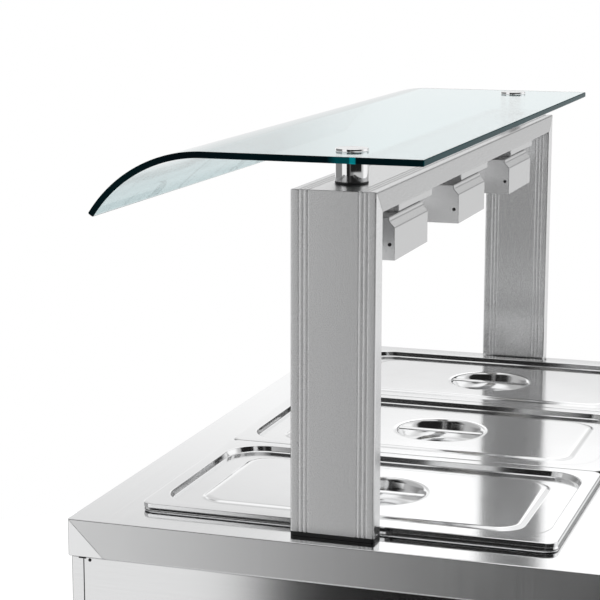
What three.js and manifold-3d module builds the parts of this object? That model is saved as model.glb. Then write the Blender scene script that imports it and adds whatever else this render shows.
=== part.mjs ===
// Steam table unit: a stainless counter with a heated well for three covered gastronorm pans,
// a cupboard below, and a gantry of aluminium profile that carries three heat lamps and a curved
// glass canopy. Millimetres. +X runs along the row of pans, -Y is the customer side, +Y is the
// operator side, +Z is up. The origin is on the floor under the middle of the counter.
import * as THREE from 'three';
import { mergeVertices } from 'three/addons/utils/BufferGeometryUtils.js';
import Module from 'manifold-3d';

const wasm = await Module();
wasm.setup();

// ---- driving dimensions -------------------------------------------------------------------
const GAP = 0.3; // air kept between pieces that touch on the real object
const SHEET = 1.5; // stainless sheet
const SEAM = 0.4; // width of the mitred corner seams
const counter = { length: 1105, width: 670, height: 880, apron: 48, hem: 20 };
const pans = { count: 3, pitch: 327, length: 530, width: 325, depth: 150, rim: 3.5, wall: 1.2,
  rimCorner: 16, mouthCorner: 48, rimWidthX: 12, rimWidthY: 13, wallFall: 8, floorInset: 31,
  floorCorner: 34, heel: 12 };
const well = { margin: 12, overlap: 10, depth: 200, radius: 20, flange: 15, heel: 12 };
const lid = { edge: 5.6, width: 325.2, length: 527.8, wall: 1.2, corner: 14, roll: 1.4,
  channelOutX: 17.5, channelOutY: 17.4, channelDrop: 7.6, channelSlope: 2.5, channelCorner: 50,
  plateauX: 58.4, plateauY: 59, plateauDrop: 4.8, plateauSlope: 4.1, plateauCorner: 27,
  dish: 64, dishDepth: 27, dishHeel: 8, dishFloor: 26, dishLip: 3,
  strap: 11, strapThickness: 2, strapSunk: 0.6 };
const post = { inset: 26, width: 105, depth: 27, wall: 2.5, radius: 3, height: 420, gasket: 5,
  stud: 10, spigot: 80, spigotHalfWidth: 42, spigotClearance: 1.5 };
const standoff = { inset: 100, diameter: 40, washer: 2, cap: 3, stud: 10, studLength: 30,
  bore: 11 };
const glass = { inset: 30, underside: 451, thickness: 8, operatorEdge: 107, bendStart: -165,
  bendRadius: 177, bendAngle: 57, hole: 14 };
const lamp = { pitch: 320, bracketLength: 160, bracketWidth: 88, bracketHeight: 13, length: 155,
  overhang: 125.5, topWidth: 90, width: 104, lip: 5, slope: 7.3, side: 39.7, tube: 11, cap: 16,
  capLength: 14, tubeDrop: 34 };
const cabinet = { inset: 3, customerReturn: 16, legHeight: 150, front: 282, skirt: 22 };
const frame = { depth: 20, stile: 29, sill: 25, doorTop: 702, panelBottom: 712, mullion: 24 };
const door = { back: 286, front: 300, gap: 1.5, bottom: 158, top: 700, pivotInset: 6, pivotY: 293,
  pin: 8, socket: 9.4 };
const lug = { foot: 20, thickness: 3, pinReach: 15 };
const leaf = { skin: 1.2, pinHole: 5 };
const handle = { length: 160, standoff: 30, bar: 10, fromEdge: 40, height: 560 };
const controls = { z: 768, knobX: 420, powerX: 330, lampX: 280, pilotX: 230, windowHalfX: 7.5,
  windowHalfZ: 11.5, spindleHole: 10, pilotHole: 11, rockerTilt: 8 };
const knob = { diameter: 44, skirt: 4, shoulder: 6, height: 25, rib: 1.5, bore: 6.8 };
const rockerCap = { halfLength: 9, halfWidth: 6, waist: 3, tip: 4.5, pivot: 5 };
const gland = { x: 150, y: 180, thread: 20, hole: 21.2, nut: 27, bore: 9, below: 26, above: 6 };
const foot = { sleeve: 42, bore: 35, stem: 33, pad: 42, shoulder: 35, insert: 50, insetX: 60,
  insetY: 60 };
const drain = { x: 380, y: 190, pipe: 27, bore: 21, valveZ: 560, ball: 28, stem: 8, lever: 105 };
const valve = { body: 42, bodyHalf: 18, collar: 34, collarHalf: 25, neck: 20, neckEnd: 30,
  way: 18, leverY: 31 };
const element = { rod: 9, aboveFloor: 24, outerY: 200, innerY: 70, farX: 400, turnX: 400,
  throughWall: 22 };

const T = counter.height; // top face of the counter
const halfL = counter.length / 2;
const halfW = counter.width / 2;
const holeX = pans.count * pans.pitch / 2 - well.margin;
const holeY = pans.length / 2 - well.overlap;
const apronFoot = T - counter.apron;
const bodyX = halfL - cabinet.inset;
const bodyBack = -(halfW - cabinet.inset);
const cabinetTop = apronFoot - GAP;
const floorZ = cabinet.legHeight; // top face of the cupboard floor
const beamTop = T + post.height;
const beamFoot = beamTop - post.depth;
const postOuterX = halfL - post.inset;
const glassFoot = T + glass.underside;
const lampX = (i) => lamp.pitch * (1 - i);
const panX = (i) => pans.pitch * (1 - i);
const panSeat = T + GAP; // underside of a pan rim
const lidSeat = panSeat + pans.rim + GAP; // underside of a lid edge
const lidTop = lidSeat + lid.edge;

// ---- materials ----------------------------------------------------------------------------
const finish = (color, roughness, metalness) => () =>
  new THREE.MeshStandardMaterial({ color, roughness, metalness });
const brushedSteel = finish(0xc4c6c7, 0.35, 1);
const polishedSteel = finish(0xdfe1e2, 0.12, 1);
const anodised = finish(0xa9abad, 0.42, 1);
const blackPlastic = finish(0x161616, 0.5, 0);
const redPlastic = finish(0xc0281e, 0.4, 0);
const amberPlastic = finish(0xe08a1c, 0.3, 0);
const brass = finish(0xc9b27a, 0.35, 1);
const greenGlass = finish(0xcfe6e0, 0.05, 0);
const quartz = finish(0xf2e6d0, 0.15, 0);

// ---- solids -------------------------------------------------------------------------------
function solid(geometry) {
  const bare = geometry.clone();
  bare.deleteAttribute('normal');
  bare.deleteAttribute('uv');
  const merged = mergeVertices(bare, 1e-4);
  const vertProperties = new Float32Array(merged.attributes.position.array);
  const triVerts = new Uint32Array(merged.index.array);
  return new wasm.Manifold(new wasm.Mesh({ numProp: 3, vertProperties, triVerts }));
}

function geometryOf(body) {
  const mesh = body.getMesh();
  const geometry = new THREE.BufferGeometry();
  geometry.setAttribute('position', new THREE.BufferAttribute(mesh.vertProperties, 3));
  geometry.setIndex(new THREE.BufferAttribute(mesh.triVerts, 1));
  geometry.computeVertexNormals();
  return geometry;
}

const join = (first, ...rest) =>
  geometryOf(rest.reduce((sum, piece) => sum.add(solid(piece)), solid(first)));
const cut = (first, ...rest) =>
  geometryOf(rest.reduce((sum, piece) => sum.subtract(solid(piece)), solid(first)));

// A box from its lowest to its highest corner.
function box(x0, x1, y0, y1, z0, z1) {
  const geometry = new THREE.BoxGeometry(x1 - x0, y1 - y0, z1 - z0);
  return geometry.translate((x0 + x1) / 2, (y0 + y1) / 2, (z0 + z1) / 2);
}

// Two distances from the middle, on one side of it, as a rising pair.
const between = (side, a, b) => [side * a, side * b].sort((p, q) => p - q);

// A cylinder along an axis, from one coordinate on that axis to another.
function rod(axis, radius, from, to, u = 0, v = 0, sides = 16) {
  const geometry = new THREE.CylinderGeometry(radius, radius, to - from, sides);
  const middle = (from + to) / 2;
  if (axis === 'x') return geometry.rotateZ(-Math.PI / 2).translate(middle, u, v);
  if (axis === 'y') return geometry.translate(u, middle, v);
  return geometry.rotateX(Math.PI / 2).translate(u, v, middle);
}

// A turned piece about the Z axis; the profile is a list of [radius, z].
function turned(profile, sides = 16) {
  const points = profile.map(([radius, z]) => new THREE.Vector2(radius, z));
  return new THREE.LatheGeometry(points, sides).rotateX(Math.PI / 2);
}

// A flat outline in (y, z), extruded along X from x0 to x1.
function profileAlongX(points, x0, x1) {
  const shape = new THREE.Shape(points.map(([y, z]) => new THREE.Vector2(y, z)));
  const geometry = new THREE.ExtrudeGeometry(shape, { depth: x1 - x0, bevelEnabled: false });
  const toWorld = new THREE.Matrix4().makeBasis(
    new THREE.Vector3(0, 1, 0), new THREE.Vector3(0, 0, 1), new THREE.Vector3(1, 0, 0));
  return geometry.applyMatrix4(toWorld).translate(x0, 0, 0);
}

// One ring of a rounded rectangle: half sizes, corner radius, height.
const CORNER_STEPS = 4;
function ring([halfX, halfY, radius, z]) {
  const points = [];
  for (let corner = 0; corner < 4; corner += 1) {
    const signX = corner === 0 || corner === 3 ? 1 : -1;
    const signY = corner < 2 ? 1 : -1;
    for (let step = 0; step <= CORNER_STEPS; step += 1) {
      const angle = (corner + step / CORNER_STEPS) * Math.PI / 2;
      points.push([signX * (halfX - radius) + radius * Math.cos(angle),
        signY * (halfY - radius) + radius * Math.sin(angle), z]);
    }
  }
  return points;
}

// A closed skin through a list of rings, from the middle of the first to the middle of the last.
// The rings run up the outside of a dish and down its inside, so the skin is one thin body.
function skin(rings) {
  const loops = rings.map(ring);
  const count = loops[0].length;
  const positions = loops.flat(2);
  const first = positions.length / 3;
  positions.push(0, 0, loops[0][0][2]);
  positions.push(0, 0, loops[loops.length - 1][0][2]);
  const index = [];
  for (let i = 0; i < count; i += 1) {
    const next = (i + 1) % count;
    for (let k = 0; k < loops.length - 1; k += 1) {
      const a = k * count + i;
      const b = k * count + next;
      index.push(a, b, b + count, a, b + count, a + count);
    }
    const last = (loops.length - 1) * count;
    index.push(first, next, i, first + 1, last + i, last + next);
  }
  const geometry = new THREE.BufferGeometry();
  geometry.setAttribute('position', new THREE.Float32BufferAttribute(positions, 3));
  geometry.setIndex(index);
  geometry.computeVertexNormals();
  return geometry;
}

// A rounded-rectangle plate or bar standing on z0.
function plate(halfX, halfY, radius, z0, z1) {
  return skin([[halfX, halfY, radius, z0], [halfX, halfY, radius, z1]]);
}

// A hollow extrusion of rounded-rectangle section, along Z.
function tube(halfX, halfY, radius, wall, z0, z1) {
  const inside = plate(halfX - wall, halfY - wall, radius - wall, z0 - 1, z1 + 1);
  return cut(plate(halfX, halfY, radius, z0, z1), inside);
}

function named(name, geometry, material, x = 0, y = 0, z = 0) {
  const mesh = new THREE.Mesh(geometry, material());
  mesh.name = name;
  mesh.position.set(x, y, z);
  return mesh;
}

// ---- counter ------------------------------------------------------------------------------
function worktop() {
  const { hem } = counter;
  const top = plate(halfL, halfW, 0.5, T - SHEET, T);
  const opening = plate(holeX, holeY, well.radius, T - SHEET - 1, T + 1);
  const pieces = [];
  for (const side of [-1, 1]) {
    const [fall0, fall1] = between(side, halfL, halfL - SHEET);
    const [hem0, hem1] = between(side, halfL, halfL - hem);
    pieces.push(box(fall0, fall1, -halfW, halfW, apronFoot, T - 1));
    pieces.push(box(hem0, hem1, -halfW, halfW, apronFoot, apronFoot + SHEET));
  }
  pieces.push(box(-halfL, halfL, halfW - SHEET, halfW, apronFoot, T - 1));
  pieces.push(box(-halfL, halfL, halfW - hem, halfW, apronFoot, apronFoot + SHEET));
  const mitreFoot = -halfW + counter.apron + 1 + SEAM;
  const corner = profileAlongX([[-halfW - 1, apronFoot - 1], [-halfW - 1, T - SHEET],
    [-halfW + SHEET + SEAM, T - SHEET], [mitreFoot, apronFoot - 1]], -halfL - 1, halfL + 1);
  const folded = cut(join(top, ...pieces), opening, corner);
  const studs = [-1, 1].map((side) =>
    rod('z', post.stud / 2, T - 10, T + 10, side * (postOuterX - post.depth / 2)));
  return cut(folded, ...studs);
}

function customerFascia() {
  const top = T - SHEET - GAP;
  const fall = top - apronFoot;
  const ear = [[-halfW, top], [-halfW, apronFoot], [-halfW + fall, apronFoot]];
  const sheet = box(-halfL, halfL, -halfW, -halfW + SHEET, apronFoot, top);
  const hem = box(-bodyX + counter.hem, bodyX - counter.hem, -halfW, -halfW + counter.hem,
    apronFoot, apronFoot + SHEET);
  const right = profileAlongX(ear, halfL - SHEET, halfL);
  const left = profileAlongX(ear, -halfL, -halfL + SHEET);
  return join(sheet, hem, right, left);
}

// ---- cupboard -----------------------------------------------------------------------------
function endPanel(side) {
  const back = bodyBack + cabinet.customerReturn + GAP;
  const [x0, x1] = between(side, bodyX, bodyX - counter.hem);
  const [room0, room1] = between(side, bodyX - SHEET, bodyX - counter.hem - 1);
  const outerBox = box(x0, x1, back, cabinet.front, floorZ + GAP, cabinetTop);
  const room = box(room0, room1, back + SHEET, cabinet.front - SHEET,
    floorZ + GAP + SHEET, cabinetTop - SHEET);
  return cut(outerBox, room);
}

function customerPanel() {
  const front = bodyBack + cabinet.customerReturn;
  const outerBox = box(-bodyX, bodyX, bodyBack, front, floorZ + GAP, cabinetTop);
  const room = box(-bodyX + SHEET, bodyX - SHEET, bodyBack + SHEET, front + 1,
    floorZ + GAP + SHEET, cabinetTop - SHEET);
  return cut(outerBox, room);
}

const footRows = [bodyBack + foot.insetY, cabinet.front - foot.insetY];
const footPlaces = [1, -1].flatMap((side) => footRows.map((y) => [side * (bodyX - foot.insetX), y]));
const glandX = -bodyX + gland.x;

function basePan() {
  const outerBox = box(-bodyX, bodyX, bodyBack, cabinet.front, floorZ - cabinet.skirt, floorZ);
  const room = box(-bodyX + SHEET, bodyX - SHEET, bodyBack + SHEET, cabinet.front - SHEET,
    floorZ - cabinet.skirt - 1, floorZ - SHEET);
  const sleeves = footPlaces.map(([x, y]) =>
    rod('z', foot.sleeve / 2, foot.shoulder, floorZ - SHEET / 2, x, y));
  const bores = footPlaces.map(([x, y]) =>
    rod('z', foot.bore / 2, foot.shoulder - 1, floorZ - SHEET - 8, x, y));
  const glandHole = rod('z', gland.hole / 2, floorZ - 10, floorZ + 1, glandX, gland.y);
  return cut(join(cut(outerBox, room), ...sleeves), ...bores, glandHole);
}

function adjustableFoot() {
  const pad = foot.pad / 2;
  const stem = foot.stem / 2;
  const shoulder = foot.shoulder - GAP;
  return turned([[0, 0], [pad - 5, 0], [pad - 3, 3], [pad, 12], [pad, shoulder], [stem, shoulder],
    [stem, shoulder + foot.insert], [0, shoulder + foot.insert]]);
}

function cableGland() {
  const under = floorZ - SHEET;
  const nut = gland.nut / 2;
  const thread = gland.thread / 2;
  const bore = gland.bore / 2;
  const foot0 = under - gland.below;
  return turned([[bore, foot0], [nut - 5.5, foot0], [nut - 2.5, foot0 + 6], [nut, foot0 + 14],
    [nut, under - GAP], [thread, under - GAP], [thread, floorZ + GAP], [nut, floorZ + GAP],
    [nut, floorZ + gland.above], [bore, floorZ + gland.above], [bore, foot0]]);
}

const pivotX = bodyX - door.gap - door.pivotInset;

function operatorFrame() {
  const outerX = bodyX - counter.hem - GAP;
  const y0 = cabinet.front - frame.depth - GAP;
  const y1 = cabinet.front - GAP;
  const insideX = outerX - frame.stile;
  const sill = floorZ + frame.sill;
  const ringBox = box(-outerX, outerX, y0, y1, floorZ + GAP, cabinetTop - SHEET - GAP);
  const holes = [
    box(-insideX, -frame.mullion / 2, y0 - 1, y1 + 1, sill, frame.doorTop - frame.sill),
    box(frame.mullion / 2, insideX, y0 - 1, y1 + 1, sill, frame.doorTop - frame.sill),
    box(-insideX, insideX, y0 - 1, y1 + 1, frame.panelBottom + 8, cabinetTop - frame.sill)];
  const lugs = [];
  const lugHeights = [[floorZ + 1.5, door.bottom - 1], [door.top + 1, door.top + 1 + lug.thickness]];
  for (const side of [-1, 1]) {
    const [root0, root1] = between(side, outerX - lug.foot, outerX);
    const [arm0, arm1] = between(side, outerX - lug.foot, pivotX + door.pivotInset);
    for (const [z0, z1] of lugHeights) {
      lugs.push(box(root0, root1, y1 - 1, cabinet.front + 2, z0, z1));
      lugs.push(box(arm0, arm1, cabinet.front + 1, door.front - 1, z0, z1));
    }
    for (const [z0, z1] of [[door.bottom - 2, door.bottom + lug.pinReach],
      [door.top - lug.pinReach, door.top + 2]]) {
      lugs.push(rod('z', door.pin / 2, z0, z1, side * pivotX, door.pivotY));
    }
  }
  return join(cut(ringBox, ...holes), ...lugs);
}

// A door is two skins with air between them; the pivot pins enter through holes in its edges.
function doorLeaf(side) {
  const t = leaf.skin;
  const [x0, x1] = between(side, door.gap, bodyX - door.gap);
  const outside = box(x0, x1, door.back, door.front, door.bottom, door.top);
  const inside = box(x0 + t, x1 - t, door.back + t, door.front - t, door.bottom + t, door.top - t);
  const socket = (z0, z1) => rod('z', door.socket / 2, z0, z1, side * pivotX, door.pivotY);
  return cut(outside, inside, socket(door.bottom - 1, door.bottom + leaf.pinHole),
    socket(door.top - leaf.pinHole, door.top + 1));
}

// A bow handle: two feet on the door and an upright bar clear of it.
function bowHandle() {
  const half = handle.length / 2;
  const bar = handle.bar / 2;
  const grip = box(-bar, bar, handle.standoff - handle.bar, handle.standoff, -half, half);
  const feet = [-1, 1].map((end) => {
    const [z0, z1] = between(end, half, half - handle.bar);
    return box(-bar, bar, GAP, handle.standoff - 1, z0, z1);
  });
  return join(grip, ...feet);
}

function controlPanel() {
  const bottom = frame.panelBottom - 6;
  const y0 = cabinet.front + GAP;
  const edge = bodyX - 1;
  const tray = cut(box(-edge, edge, y0, door.front, bottom, cabinetTop),
    box(-edge + SHEET, edge - SHEET, y0 - 1, door.front - SHEET, bottom + SHEET,
      cabinetTop - SHEET));
  const through = [door.front - 5, door.front + 1];
  const window = (x) => box(x - controls.windowHalfX, x + controls.windowHalfX, ...through,
    controls.z - controls.windowHalfZ, controls.z + controls.windowHalfZ);
  return cut(tray, window(controls.powerX), window(controls.lampX),
    rod('y', controls.spindleHole / 2, ...through, controls.knobX, controls.z),
    rod('y', controls.pilotHole / 2, ...through, controls.pilotX, controls.z));
}

// Turned about Y, standing on the control panel: skirt, grip and a pointer rib.
function thermostatKnob() {
  const r = knob.diameter / 2;
  const grip = turned([[0, 0], [r, 0], [r, knob.skirt], [r - 4, knob.shoulder],
    [r - 5.5, knob.height - 2], [r - 7, knob.height], [0, knob.height]], 24);
  const rib = box(-knob.rib, knob.rib, 4, r - 5, knob.height - 5, knob.height + knob.rib);
  return cut(join(grip, rib), rod('z', knob.bore / 2, -1, 14)).rotateX(-Math.PI / 2);
}

function thermostatBody() {
  const casing = box(-24, 24, -36, 0, -20, 20);
  return join(casing, rod('y', 3, -2, 14));
}

// A rocker seen along its pivot is a shallow V; at rest its lower half is proud.
function rocker() {
  const { halfLength, halfWidth, waist, tip, pivot } = rockerCap;
  const wedge = profileAlongX([[0, 0], [halfLength, 0], [halfLength, tip], [0, waist],
    [-halfLength, tip], [-halfLength, 0]], -halfWidth, halfWidth);
  return join(wedge, rod('x', pivot / 2, -halfWidth, halfWidth, 0, -SHEET, 12));
}

// Turned about Z from its terminals, through the panel, to the dome.
function pilotLamp() {
  const face = GAP + SHEET;
  return turned([[0, -20], [5, -20], [5, face], [7, face], [7, 3.5], [5, 6], [0, 7]], 20);
}

// ---- well, element and drain --------------------------------------------------------------
function wellTank() {
  const top = T - SHEET - GAP;
  const floor = T - well.depth;
  const { radius: r, flange: rim, heel } = well;
  const tub = skin([
    [holeX - heel + SHEET, holeY - heel + SHEET, r, floor - SHEET],
    [holeX + SHEET, holeY + SHEET, r + SHEET, floor + heel],
    [holeX + SHEET, holeY + SHEET, r + SHEET, top - SHEET],
    [holeX + rim, holeY + rim, r + rim, top - SHEET],
    [holeX + rim, holeY + rim, r + rim, top],
    [holeX, holeY, r, top],
    [holeX, holeY, r, floor + heel],
    [holeX - heel, holeY - heel, r - 2, floor]]);
  const rodZ = floor + element.aboveFloor;
  const ports = [-1, 1].map((side) =>
    rod('x', element.rod / 2 + 1, holeX - 5, holeX + 5, side * element.outerY, rodZ));
  const outlet = rod('z', drain.pipe / 2 + 0.6, floor - 5, floor + 5, drain.x, drain.y);
  return cut(tub, outlet, ...ports);
}

function heatingElement() {
  const z = T - well.depth + element.aboveFloor;
  const { outerY, innerY, farX, turnX } = element;
  const outerTurn = (outerY - innerY) / 2;
  const path = new THREE.CurvePath();
  const straight = (x0, y0, x1, y1) => path.add(new THREE.LineCurve3(
    new THREE.Vector3(x0, y0, z), new THREE.Vector3(x1, y1, z)));
  const bend = (x, y, radius, side) => {
    const steps = 6;
    const at = (k) => {
      const a = Math.PI / 2 - Math.PI * k / steps;
      return new THREE.Vector3(x + side * radius * Math.cos(a), y + radius * Math.sin(a), z);
    };
    for (let i = 0; i < steps; i += 1) path.add(new THREE.LineCurve3(at(i), at(i + 1)));
  };
  const terminalX = holeX + element.throughWall;
  straight(terminalX, outerY, -farX, outerY);
  bend(-farX, outerY - outerTurn, outerTurn, -1);
  straight(-farX, innerY, turnX, innerY);
  bend(turnX, 0, innerY, 1);
  straight(turnX, -innerY, -farX, -innerY);
  bend(-farX, -outerY + outerTurn, outerTurn, -1);
  straight(-farX, -outerY, terminalX, -outerY);
  const section = new THREE.Shape();
  section.absarc(0, 0, element.rod / 2, 0, 2 * Math.PI);
  return new THREE.ExtrudeGeometry(section, { steps: 72, extrudePath: path, curveSegments: 3 });
}

function drainPipe() {
  const top = T - well.depth + 0.2;
  const collar = drain.valveZ + valve.collarHalf;
  const tubeWall = rod('z', drain.pipe / 2, collar + GAP, top);
  return cut(tubeWall, rod('z', drain.bore / 2, collar - 5, top + 1));
}

function drainValveBody() {
  const { body, bodyHalf, collar, collarHalf, neck, neckEnd, way } = valve;
  const cavity = new THREE.SphereGeometry(drain.ball / 2 + 1, 16, 10);
  const casting = join(rod('z', body / 2, -bodyHalf, bodyHalf),
    rod('z', collar / 2, -collarHalf, collarHalf), rod('y', neck / 2, 0, neckEnd));
  return cut(casting, cavity, rod('z', way / 2, -collarHalf - 1, collarHalf + 1),
    rod('y', drain.stem / 2 + 0.5, 0, neckEnd + 1));
}

function drainBall() {
  const ball = cut(new THREE.SphereGeometry(drain.ball / 2, 16, 10),
    rod('x', valve.way / 2, -20, 20));
  return join(ball, rod('y', drain.stem / 2, drain.ball / 2 - 3, valve.leverY + 9, 0, 0, 12));
}

function drainLever() {
  const y0 = valve.leverY;
  const tip = -drain.lever;
  const bar = box(tip, 10, y0, y0 + 3, -8, 8);
  const grip = box(tip - 2, tip + 55, y0 - 3, y0 + 6, -9.5, 9.5);
  return cut(join(bar, grip), rod('y', drain.stem / 2 + 0.4, y0 - 1, y0 + 4));
}

// ---- pans and lids ------------------------------------------------------------------------
function foodPan() {
  const x = pans.width / 2 - GAP;
  const y = pans.length / 2 - GAP;
  const { rimWidthX, rimWidthY, rimCorner, mouthCorner, wallFall, floorInset, floorCorner, heel,
    wall } = pans;
  const rimTop = panSeat + pans.rim;
  const floor = panSeat - pans.depth;
  const heelInset = rimWidthX + wallFall;
  return skin([
    [x - floorInset, y - floorInset, floorCorner, floor],
    [x - heelInset, y - heelInset, mouthCorner - 4, floor + heel],
    [x - rimWidthX, y - rimWidthY, mouthCorner, panSeat],
    [x, y, rimCorner, panSeat],
    [x - wall, y - wall, rimCorner - 1, rimTop],
    [x - rimWidthX, y - rimWidthY, mouthCorner, rimTop],
    [x - heelInset - wall, y - heelInset - wall, mouthCorner - 5, floor + heel + wall],
    [x - floorInset - wall, y - floorInset - wall, floorCorner - 1, floor + wall]]);
}

// A pressed lid: rolled edge, flat flange, a channel, a plateau and a round finger dish.
function panLid() {
  const x = lid.width / 2;
  const y = lid.length / 2;
  const t = lid.wall;
  const channel = lidTop - lid.channelDrop;
  const plateau = lidTop - lid.plateauDrop;
  const bottom = plateau - lid.dishDepth;
  const { corner, roll, channelCorner, plateauCorner, dish, dishHeel, dishFloor, dishLip } = lid;
  const quarterTurn = roll * (1 - Math.SQRT1_2);
  const edge = (inset, z) => [x - inset, y - inset, corner - inset, z];
  const channelOut = (inset, radius, z) =>
    [x - lid.channelOutX - inset, y - lid.channelOutY - inset, radius, z];
  const plateauEdge = (outset, radius, z) =>
    [x - lid.plateauX + outset, y - lid.plateauY + outset, radius, z];
  const round = (radius, z) => [radius, radius, radius - 0.5, z];
  return skin([
    round(dish - dishFloor - t, bottom - t),
    round(dish - dishHeel, bottom + dishHeel - t),
    round(dish - 2 + t, plateau - dishLip - t),
    round(dish + t, plateau - t),
    plateauEdge(0, plateauCorner, plateau - t),
    plateauEdge(lid.plateauSlope, plateauCorner + 3, channel - t),
    channelOut(t, channelCorner, channel - t),
    channelOut(-t, channelCorner + 1, lidTop - t),
    edge(roll, lidTop - t),
    edge(t, lidTop - roll),
    edge(t, lidSeat),
    edge(0, lidSeat),
    edge(0, lidTop - roll),
    edge(quarterTurn, lidTop - quarterTurn),
    edge(roll, lidTop),
    channelOut(0, channelCorner, lidTop),
    channelOut(lid.channelSlope, channelCorner - 1, channel),
    plateauEdge(lid.plateauSlope, plateauCorner + 3, channel),
    plateauEdge(0, plateauCorner, plateau),
    round(dish, plateau),
    round(dish - 2, plateau - dishLip),
    round(dish - dishHeel - t, bottom + dishHeel),
    round(dish - dishFloor - t, bottom)]);
}

function lidStrap() {
  const top = lidTop - lid.plateauDrop - lid.strapSunk;
  return plate(lid.strap / 2, lid.dish - 2.8, 1.2, top - lid.strapThickness, top);
}

// ---- gantry -------------------------------------------------------------------------------
// An outline in (x, z) made into a block across the whole gantry.
function blockAcross(points) {
  const shape = new THREE.Shape(points.map(([x, z]) => new THREE.Vector2(x, z)));
  const across = 200;
  const geometry = new THREE.ExtrudeGeometry(shape, { depth: across, bevelEnabled: false });
  return geometry.rotateX(Math.PI / 2).translate(0, across / 2, 0);
}

const postFoot = T + post.gasket + GAP;

// The post ends in a mitre, which rises outwards at 45 degrees to meet the beam.
function gantryPost(side) {
  const upright = tube(post.depth / 2, post.width / 2, post.radius, post.wall, postFoot,
    beamTop + 10);
  const x = side * post.depth / 2;
  const above = blockAcross([[x, beamTop - GAP], [-x, beamFoot - GAP], [-3 * x, beamFoot - 28],
    [-3 * x, beamTop + 40], [3 * x, beamTop + 40], [3 * x, beamTop + post.depth - GAP]]);
  return cut(upright, above);
}

function gantryBeam() {
  const flat = tube(post.depth / 2, post.width / 2, post.radius, post.wall, -postOuterX,
    postOuterX);
  const level = flat.rotateY(Math.PI / 2).translate(0, 0, (beamTop + beamFoot) / 2);
  const corner = postOuterX - GAP;
  const beyond = 20;
  const below = 10;
  const ends = [-1, 1].map((side) => blockAcross([
    [side * corner, beamTop], [side * (corner + beyond), beamTop + beyond],
    [side * (corner + beyond), beamFoot - below],
    [side * (corner - post.depth - below), beamFoot - below]]));
  return cut(level, ...ends);
}

function postGasket() {
  const lip = 0.6;
  return plate(post.depth / 2 + lip, post.width / 2 + lip, post.radius, T + GAP, T + post.gasket);
}

function postSpigot() {
  const halfDepth = post.depth / 2 - post.wall - post.spigotClearance;
  return plate(halfDepth, post.spigotHalfWidth, 2, postFoot, postFoot + post.spigot);
}

function standoffBody() {
  const z0 = beamTop + GAP + standoff.washer + GAP;
  const r = standoff.diameter / 2;
  const top = glassFoot - GAP;
  const bore = standoff.bore / 2;
  return turned([[bore, z0], [r - 0.6, z0], [r, z0 + 0.6], [r, top - 0.6], [r - 0.6, top],
    [bore, top], [bore, z0]], 24);
}

function standoffWasher() {
  const r = standoff.diameter / 2 + 0.3;
  const hole = standoff.bore / 2 + 0.5;
  const z0 = beamTop + GAP;
  const z1 = z0 + standoff.washer;
  return turned([[hole, z0], [r, z0], [r, z1], [hole, z1], [hole, z0]], 24);
}

function glassCap() {
  const z0 = glassFoot + glass.thickness + GAP;
  const r = standoff.diameter / 2;
  const stud = standoff.stud / 2;
  const z1 = z0 + standoff.cap;
  const end = z0 - standoff.studLength;
  return turned([[0, end], [stud, end], [stud, z0], [r, z0], [r, z1 - 0.8], [r - 0.8, z1],
    [0, z1]], 24);
}

function glassCanopy() {
  const steps = 10;
  const bottom = glassFoot;
  const top = bottom + glass.thickness;
  const centreZ = top - glass.bendRadius;
  const arc = (radius, from, to) => Array.from({ length: steps + 1 }, (_, i) => {
    const a = THREE.MathUtils.degToRad(from + (to - from) * i / steps);
    return [glass.bendStart - radius * Math.sin(a), centreZ + radius * Math.cos(a)];
  });
  const outline = [[glass.operatorEdge, bottom], [glass.operatorEdge, top],
    ...arc(glass.bendRadius, 0, glass.bendAngle),
    ...arc(glass.bendRadius - glass.thickness, glass.bendAngle, 0)];
  const reach = halfL - glass.inset;
  const holes = [-1, 1].map((side) =>
    rod('z', glass.hole / 2, bottom - 1, top + 1, side * (halfL - standoff.inset), 0));
  return cut(profileAlongX(outline, -reach, reach), ...holes);
}

function lampBracket() {
  const half = lamp.bracketLength / 2;
  const y = lamp.bracketWidth / 2;
  const top = beamFoot - GAP;
  const foot0 = beamFoot - lamp.bracketHeight + GAP;
  return cut(box(-half, half, -y, y, foot0, top),
    box(-half - 1, half + 1, -y + SHEET, y - SHEET, foot0 + SHEET, top - SHEET));
}

function lampSection(inset, drop) {
  const top = beamFoot - lamp.bracketHeight;
  const shoulder = top - lamp.lip;
  const side = shoulder - lamp.slope;
  const a = lamp.topWidth / 2 - inset;
  const b = lamp.width / 2 - inset;
  const bottom = side - lamp.side - drop;
  return [[-b, bottom], [b, bottom], [b, side], [a, shoulder], [a, top - inset], [-a, top - inset],
    [-a, shoulder], [-b, side]];
}

function lampHousing() {
  const x1 = lamp.overhang;
  const x0 = x1 - lamp.length;
  return cut(profileAlongX(lampSection(0, 0), x0, x1),
    profileAlongX(lampSection(SHEET, 5), x0 + SHEET, x1 - SHEET));
}

// A quartz tube with a ceramic cap at each end, lying along X inside its housing.
function quartzLamp() {
  const half = lamp.length / 2 - SHEET - 0.5;
  const r = lamp.tube / 2;
  const cap = lamp.cap / 2;
  const inner = half - lamp.capLength;
  const profile = [[0, -half], [cap, -half], [cap, -inner], [r, -inner], [r, inner], [cap, inner],
    [cap, half], [0, half]];
  return turned(profile).rotateY(Math.PI / 2);
}

// ---- assembly -----------------------------------------------------------------------------
function counterGroup() {
  const group = new THREE.Group();
  group.add(named('worktop', worktop(), brushedSteel));
  group.add(named('customer_fascia', customerFascia(), brushedSteel));
  group.add(named('well_tank', wellTank(), brushedSteel));
  group.add(named('heating_element', heatingElement(), brushedSteel));
  return group;
}

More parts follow.
